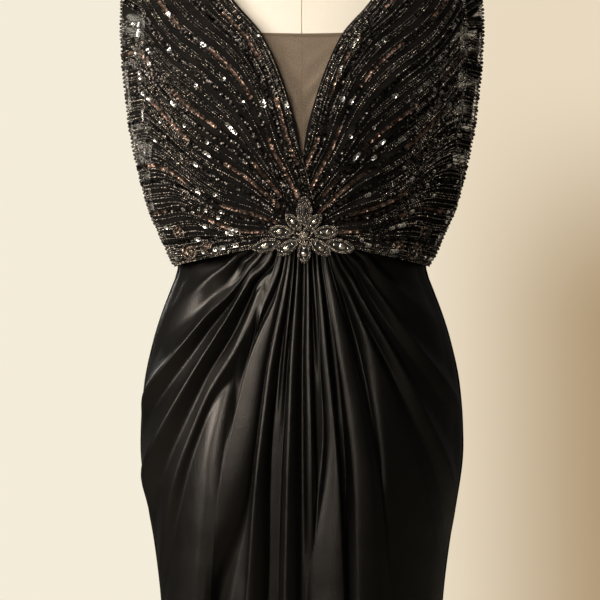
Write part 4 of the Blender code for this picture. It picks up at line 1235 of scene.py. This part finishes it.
def stripe_line(place, phase):
    """across and along down one stripe, from the applique to the side."""
    along = np.linspace(*LINE_ENDS, LINE_STEPS)
    calm = ease(place, 0.02, 0.16) * (1 - ease(place, 0.86, 0.97))
    wave = np.sin(2 * math.pi * (WAVE_COUNT * along + phase))
    swing = WAVE_SIZE * calm * np.sin(math.pi * along) * wave
    return levelled(np.full(LINE_STEPS, place) + swing, along), along


def front_row(line, offset, under, pitch, rng, raised, least_room=0.0):
    """Places, tangents and normals of one row beside a stripe's line."""
    across, along = line
    low = front_surface(across - SPREAD_STEP, along, under)[0]
    high = front_surface(across + SPREAD_STEP, along, under)[0]
    spread = np.linalg.norm(high - low, axis=-1) / (2 * SPREAD_STEP)
    moved = np.clip(across + offset / np.maximum(spread, 0.02), 0.0, 1.0)
    points, normals = front_surface(moved, along, under, raised)
    marks = paced(points, pitch, rng)
    here = np.arange(len(points))
    room = np.interp(marks, here, spread) / STRIPES
    marks = marks[(room > least_room) & (np.interp(marks, here, along) > LINE_ENDS[0])]
    return sampled((points, np.gradient(points, axis=0), normals), marks)


def sizes_of(count, size, rng, spread=0.12):
    grown = 1 + rng.uniform(-spread, spread, (count, 1))
    return np.array(size)[None, :] * grown


def tilted(normals, rng, amount):
    return unit(normals + rng.normal(0, amount, normals.shape))


def lay_front(side, finishes):
    """All the beads of one front."""
    under = side == "left"
    rng = np.random.default_rng(BEAD_SEED + under)
    beads = {kind: [] for kind in BEAD_KINDS}

    def put(kind, row, size, spread=0.12):
        beads[kind].append((*row, sizes_of(len(row[0]), size, rng, spread)))

    def row(line, offset, kind, least_room=0.0):
        places = front_row(line, offset, under, BEAD_PITCH, rng, BEAD_RISE, least_room)
        places[2] = tilted(places[2], rng, BEAD_TURN)
        draw = rng.random(len(places[0])) - MISSING_SHARE
        share = PEWTER_SHARE if kind == "pewter" else GLINT_SHARE
        put("black", [v[draw > share] for v in places], BEAD_SIZE)
        put("pewter", [v[(draw > 0) & (draw <= share)] for v in places], BEAD_SIZE)

    def sequins(line, offset, kind, phase, least_room):
        places = front_row(line, offset, under, SEQUIN_PITCH, rng, SEQUIN_RISE, least_room)
        run = np.arange(len(places[0])) * SEQUIN_PITCH
        on = np.sin(2 * math.pi * (run / BRONZE_RUN + phase)) > -0.35
        places[2] = tilted(places[2], rng, 0.20)
        put(kind, [v[on] for v in places], SEQUIN_SIZE)
        put("dark", [v[~on][::2] for v in places], SEQUIN_SIZE)

    def flashes(line, offset, count):
        places = front_row(line, offset, under, SEQUIN_PITCH * 1.05, rng, FLASH_RISE)
        total = len(places[0])
        for _ in range(count):
            start = rng.integers(int(total * FLASH_START), total - 3)
            group = slice(start, start + rng.integers(1, 4))
            few = [v[group] for v in places]
            few[2] = tilted(few[2], rng, 0.14)
            put("silver", few, SEQUIN_SIZE, 0.05)

    for number in range(STRIPES):
        place = (number + 0.5) / STRIPES
        phase = 0.15 + 0.9 * place
        line = stripe_line(place, phase)
        kinds = STRIPE_KINDS[number % len(STRIPE_KINDS)]
        for offset, kind in STRIPE_ROWS[kinds]:
            needed = ROW_ROOM[number % len(ROW_ROOM)] if offset == 0 else ROW_ROOM[1]
            room = (abs(offset) * 2 + needed) * ROW_PITCH
            if kind.endswith("sequins"):
                finish = "dark" if kind.startswith("dark") else "bronze"
                sequins(line, offset * ROW_PITCH, finish, rng.random(), room)
            else:
                row(line, offset * ROW_PITCH, kind, room)
        flashes(line, 0.0, rng.integers(1, 4))
        if place > BETWEEN_FROM:
            line = [v[BETWEEN_START:] for v in stripe_line(place + 0.5 / STRIPES, phase)]
            row(line, 0.0, "black" if number % 3 else "pewter", 3 * ROW_PITCH)

    edge = np.linspace(*EDGE_ENDS, LINE_STEPS)
    neck_edge, waist_edge = (np.zeros(LINE_STEPS), edge), (np.ones(LINE_STEPS), edge)
    for count, kind in enumerate(("black", "black", "pewter", "black")):
        row(neck_edge, (count + 0.6) * ROW_PITCH, kind)
        row(waist_edge, -(count + 0.9) * ROW_PITCH, kind)
    for offset in (0.0, -0.35):
        row(waist_edge, offset * ROW_PITCH, "black")
    flashes(waist_edge, -1.5 * ROW_PITCH, 6)

    # Down the side: along the lining's edge, and round the open sleeve.
    down = np.linspace(0.10, 0.98, LINE_STEPS)
    for shift in SIDE_ROWS:
        row((down, lining_share(down) + shift * (1 - ease(down, 0.8, 0.98))), 0.0, "black")
    flashes((down, lining_share(down) + SIDE_FLASHES), 0.0, 9)
    whole = np.linspace(0.02, 1, LINE_STEPS)
    row((whole, np.full(LINE_STEPS, EDGE_ROW)), 0.0, "black")
    edge_line = (whole, np.full(LINE_STEPS, LINE_ENDS[1]))
    places = front_row(edge_line, 0.0, under, EDGE_BEAD_PITCH, rng, EDGE_BEAD_RISE)
    put("black", places, (EDGE_BEAD_RADIUS,) * 3, 0.3)

    for centre, turns, reach in CURLS:
        turn = np.linspace(0, 2 * math.pi * turns, CURL_STEPS)
        radius = reach * MM * turn / turn[-1]
        x = centre[0] + radius * np.cos(turn)
        z = centre[1] + radius * np.sin(turn)
        points, normals = bodice_points(x, z, -1, -CURL_RISE)
        marks = paced(points, BEAD_PITCH, rng)
        curl = sampled((points, np.gradient(points, axis=0), normals), marks)
        put("pewter", curl, BEAD_SIZE)
        facing = tilted(curl[2], rng, 0.25)
        put("bronze", [curl[0] - curl[2] * 0.4 * MM, curl[1], facing], SEQUIN_SIZE)

    shapes = bead_shapes(small_shape(1), 8, sequin_shape(12, 0.44))
    strew_side(beads, shapes, finishes, "front", side)


def lay_back(side, finishes):
    """Level rows round one back, from the side to the centre."""
    rng = np.random.default_rng(BEAD_SEED + 20 + (side == "left"))
    beads = {kind: [] for kind in BEAD_KINDS}
    across = np.linspace(0.015, 0.995, BACK_LINE_STEPS)

    def row(across, along, kind):
        points, normals = back_surface(across, along, BACK_BEAD_RISE)
        wide = kind.endswith("sequins")
        marks = paced(points, SEQUIN_PITCH if wide else BEAD_PITCH, rng)
        places = sampled((points, np.gradient(points, axis=0), normals), marks)
        places[2] = tilted(places[2], rng, 0.2 if wide else BEAD_TURN)
        size = sizes_of(len(marks), SEQUIN_SIZE if wide else BEAD_SIZE, rng)
        draw = rng.random(len(marks))
        shine = draw < (0.0 if wide else GLINT_SHARE)
        plain = {"sequins": "bronze", "dark sequins": "dark"}.get(kind, "black")
        beads[plain].append([v[~shine] for v in (*places, size)])
        beads["pewter"].append([v[shine] for v in (*places, size)])
        few = [v[draw > 0.985] for v in (*places, np.array([SEQUIN_SIZE] * len(marks)))]
        few[0] = few[0] + few[2] * 1.1 * MM
        beads["silver"].append(few)

    for number in range(STRIPES):
        place = 1 - (number + 0.5) / STRIPES
        wave = 0.010 * np.sin(math.pi * across) * np.sin(2 * math.pi * (1.3 * across + place))
        for offset, kind in STRIPE_ROWS[STRIPE_KINDS[number % len(STRIPE_KINDS)]]:
            row(across, np.clip(place + wave + offset * ROW_PITCH / BACK_RUN, 0.004, 0.996), kind)
    level = np.ones(BACK_LINE_STEPS)
    for inset in BACK_INSETS:
        row(across, level * inset, "black")
        row(across, level * (1 - inset), "black")
        row(level * (1 - inset / 2), np.linspace(0.01, 0.99, BACK_LINE_STEPS), "black")
    shapes = bead_shapes(coarse_bead(), 6, sequin_shape(8, 0.28))
    strew_side(beads, shapes, finishes, "back", side)


# Applique


def applique_place():
    """Local X is across, local Y is up the applique, and local Z faces the viewer."""
    across = Vector((1, 0, 0))
    up = Vector((0, -math.sin(APPLIQUE_LEAN), math.cos(APPLIQUE_LEAN)))
    facing = across.cross(up)
    depth = float(depth_at(BODICE_SECTIONS, 0.0, APPLIQUE_HEIGHT, -1, TORSO_POWER))
    origin = Vector((APPLIQUE_CENTRE_X, depth, APPLIQUE_HEIGHT)) + facing * APPLIQUE_CLEARANCE
    turn = Matrix((across, up, facing)).transposed().to_4x4()
    return Matrix.Translation(origin) @ turn


def leaf_outline(length, width, count=200):
    turn = np.linspace(0, 2 * math.pi, count)
    rise = np.sign(np.sin(turn)) * np.abs(np.sin(turn)) ** LEAF_TIP_POWER
    return np.stack([length / 2 * np.cos(turn), width / 2 * rise, np.zeros(count)], axis=-1)


def gem_shape():
    """A cut marquise stone: a pointed girdle, a crown of facets and a flat table."""
    count = 10
    turn = np.linspace(0, 2 * math.pi, count, endpoint=False)
    rise = np.sign(np.sin(turn)) * np.abs(np.sin(turn)) ** 1.25
    girdle = np.stack([np.cos(turn), rise, np.zeros(count)], axis=-1)
    table = np.stack([0.55 * np.cos(turn + 0.3), 0.55 * np.sin(turn + 0.3), np.ones(count)], -1)
    here, after = np.arange(count), np.roll(np.arange(count), -1)
    faces = [[a, b, c] for a, b, c in zip(here, after, here + count)]
    faces += [[a, b, c] for a, b, c in zip(after, after + count, here + count)]
    faces += [[count, count + k, count + k + 1] for k in range(1, count - 1)]
    return np.concatenate([girdle, table]), np.array(faces)


def add_applique(finishes):
    place = np.array(applique_place())
    front = BACKING_THICKNESS + 0.3 * MM
    rng = np.random.default_rng(BEAD_SEED + 50)
    rims, stones, drops = [], [], []
    facing = place[:3, 2]

    def world(points, local):
        turned = np.array(local)
        flat = points @ turned[:3, :3].T + turned[:3, 3]
        return flat @ place[:3, :3].T + place[:3, 3]

    def lay(group, points, pitch, size, spread=0.1):
        marks = paced(points, pitch, rng, 0.05)
        places, tangents = sampled((points, np.gradient(points, axis=0)), marks)
        normals = tilted(np.broadcast_to(facing, places.shape), rng, BEAD_TURN)
        group.append((places, tangents, normals, sizes_of(len(marks), size, rng, spread)))

    for row in LEAVES:
        leaf = dict(zip(LEAF_COLUMNS, row))
        length, width = leaf["length_mm"] * MM, leaf["width_mm"] * MM
        local = Matrix.Translation((leaf["x_mm"] * MM, leaf["y_mm"] * MM, 0))
        local @= Matrix.Rotation(math.radians(leaf["points_deg"]), 4, "Z")
        for shrink, rise, radius in LEAF_RIMS:
            ring = leaf_outline(length - shrink * MM, width - shrink * 0.8 * MM)
            ring = ring + np.array([0, 0, front + rise * MM])
            lay(rims, world(ring, local), radius * 1.95 * MM, (radius * MM,) * 3, 0.14)
        if leaf["name"] == "top":
            for shrink in TOP_LEAF_RINGS:
                ring = leaf_outline(length - 1.3 * shrink * MM, width - shrink * MM)
                ring = ring + np.array([0, 0, front + 2.7 * MM])
                lay(rims, world(ring, local), 1.4 * MM, (TOP_LEAF_BEAD,) * 3, 0.14)
        for at, long, wide in LEAF_STONES:
            centre = np.array([[at * length, 0, front + 2.2 * MM]])
            axis = np.array(local)[:3, 0] @ place[:3, :3].T
            size = np.array([[long * length, wide * width, STONE_HEIGHT]])
            group = stones if long > 0.1 else drops
            if leaf["name"] != "top":
                group.append((world(centre, local), axis[None], facing[None], size))
    turn = np.linspace(0, 2 * math.pi, 60)
    for radius, rise, bead in BOSS_RINGS:
        ring = np.stack([radius * MM * np.cos(turn), radius * MM * np.sin(turn), 0 * turn], -1)
        ring[:, 2] = front + rise * MM
        lay(rims, world(ring, Matrix()), bead * 1.95 * MM, (bead * MM,) * 3)
    spin = rng.uniform(0, 2 * math.pi, CLUSTER_BEADS)
    reach = rng.random(CLUSTER_BEADS) ** 0.6
    x, y = CLUSTER_REACH[0] * reach * np.cos(spin), CLUSTER_REACH[1] * reach * np.sin(spin)
    spots = world(np.stack([x, y, front + (3.4 - 2.2 * reach) * MM], axis=-1), Matrix())
    facings = tilted(np.broadcast_to(facing, spots.shape), rng, BEAD_TURN)
    sizes = sizes_of(CLUSTER_BEADS, (CLUSTER_BEAD,) * 3, rng, 0.25)
    rims.append((spots, np.roll(facings, 1, axis=-1), facings, sizes))
    strew("applique_beads", small_shape(1), rims, finishes["rim"])
    strew("applique_stones", gem_shape(), stones, finishes["stone"])
    strew("applique_drops", small_shape(1), drops, finishes["clear"])
    for name, node in frame["nodes"].items():
        if name.startswith("applique_leaf"):
            node.data.materials[0] = finishes["leaf"]
    frame["nodes"]["applique_boss"].data.materials[0] = finishes["stone"]
    frame["nodes"]["applique_backing"].data.materials[0] = finishes["felt"]


# Skirt


def add_skirt(satin):
    front = add_grid("satin_front", skirt_front(), satin)
    dress(front, "black_satin", "skirt_front")
    for side in ("left", "right"):
        points = skirt_back() if side == "left" else flipped(mirrored(skirt_back()))
        back = add_grid(f"satin_back_{side}", points, satin, SATIN_WALL)
        dress(back, "black_satin", f"skirt_back_{side}")


add_camera()
add_studio()
satin = satin_material()
net = net_material("black net", (0.012, 0.0105, 0.009), 0.12, 1300, 0.07, bands=True)
insert = net_material("taupe net", (0.215, 0.163, 0.115), 0.55, 1600, 0.12)
hem_net = net_material("taupe hem", (0.17, 0.125, 0.085), 0.85, 1600, 0.20)
beading = {name: bead_material(*row) for name, row in BEADINGS.items()}
beading["felt"] = lining_material()
black_steel = metal_material("black steel", (0.03, 0.03, 0.03), 0.4, 0.6)
add_form(linen_material(), wood_material(), black_steel)
add_zip(tape_material(), metal_material("black nickel", (0.16, 0.155, 0.15), 0.3, 1.0))
add_bodice(net, lining_material(), insert, hem_net)
for side in ("left", "right"):
    lay_front(side, beading)
    lay_back(side, beading)
add_applique(beading)
add_skirt(satin)
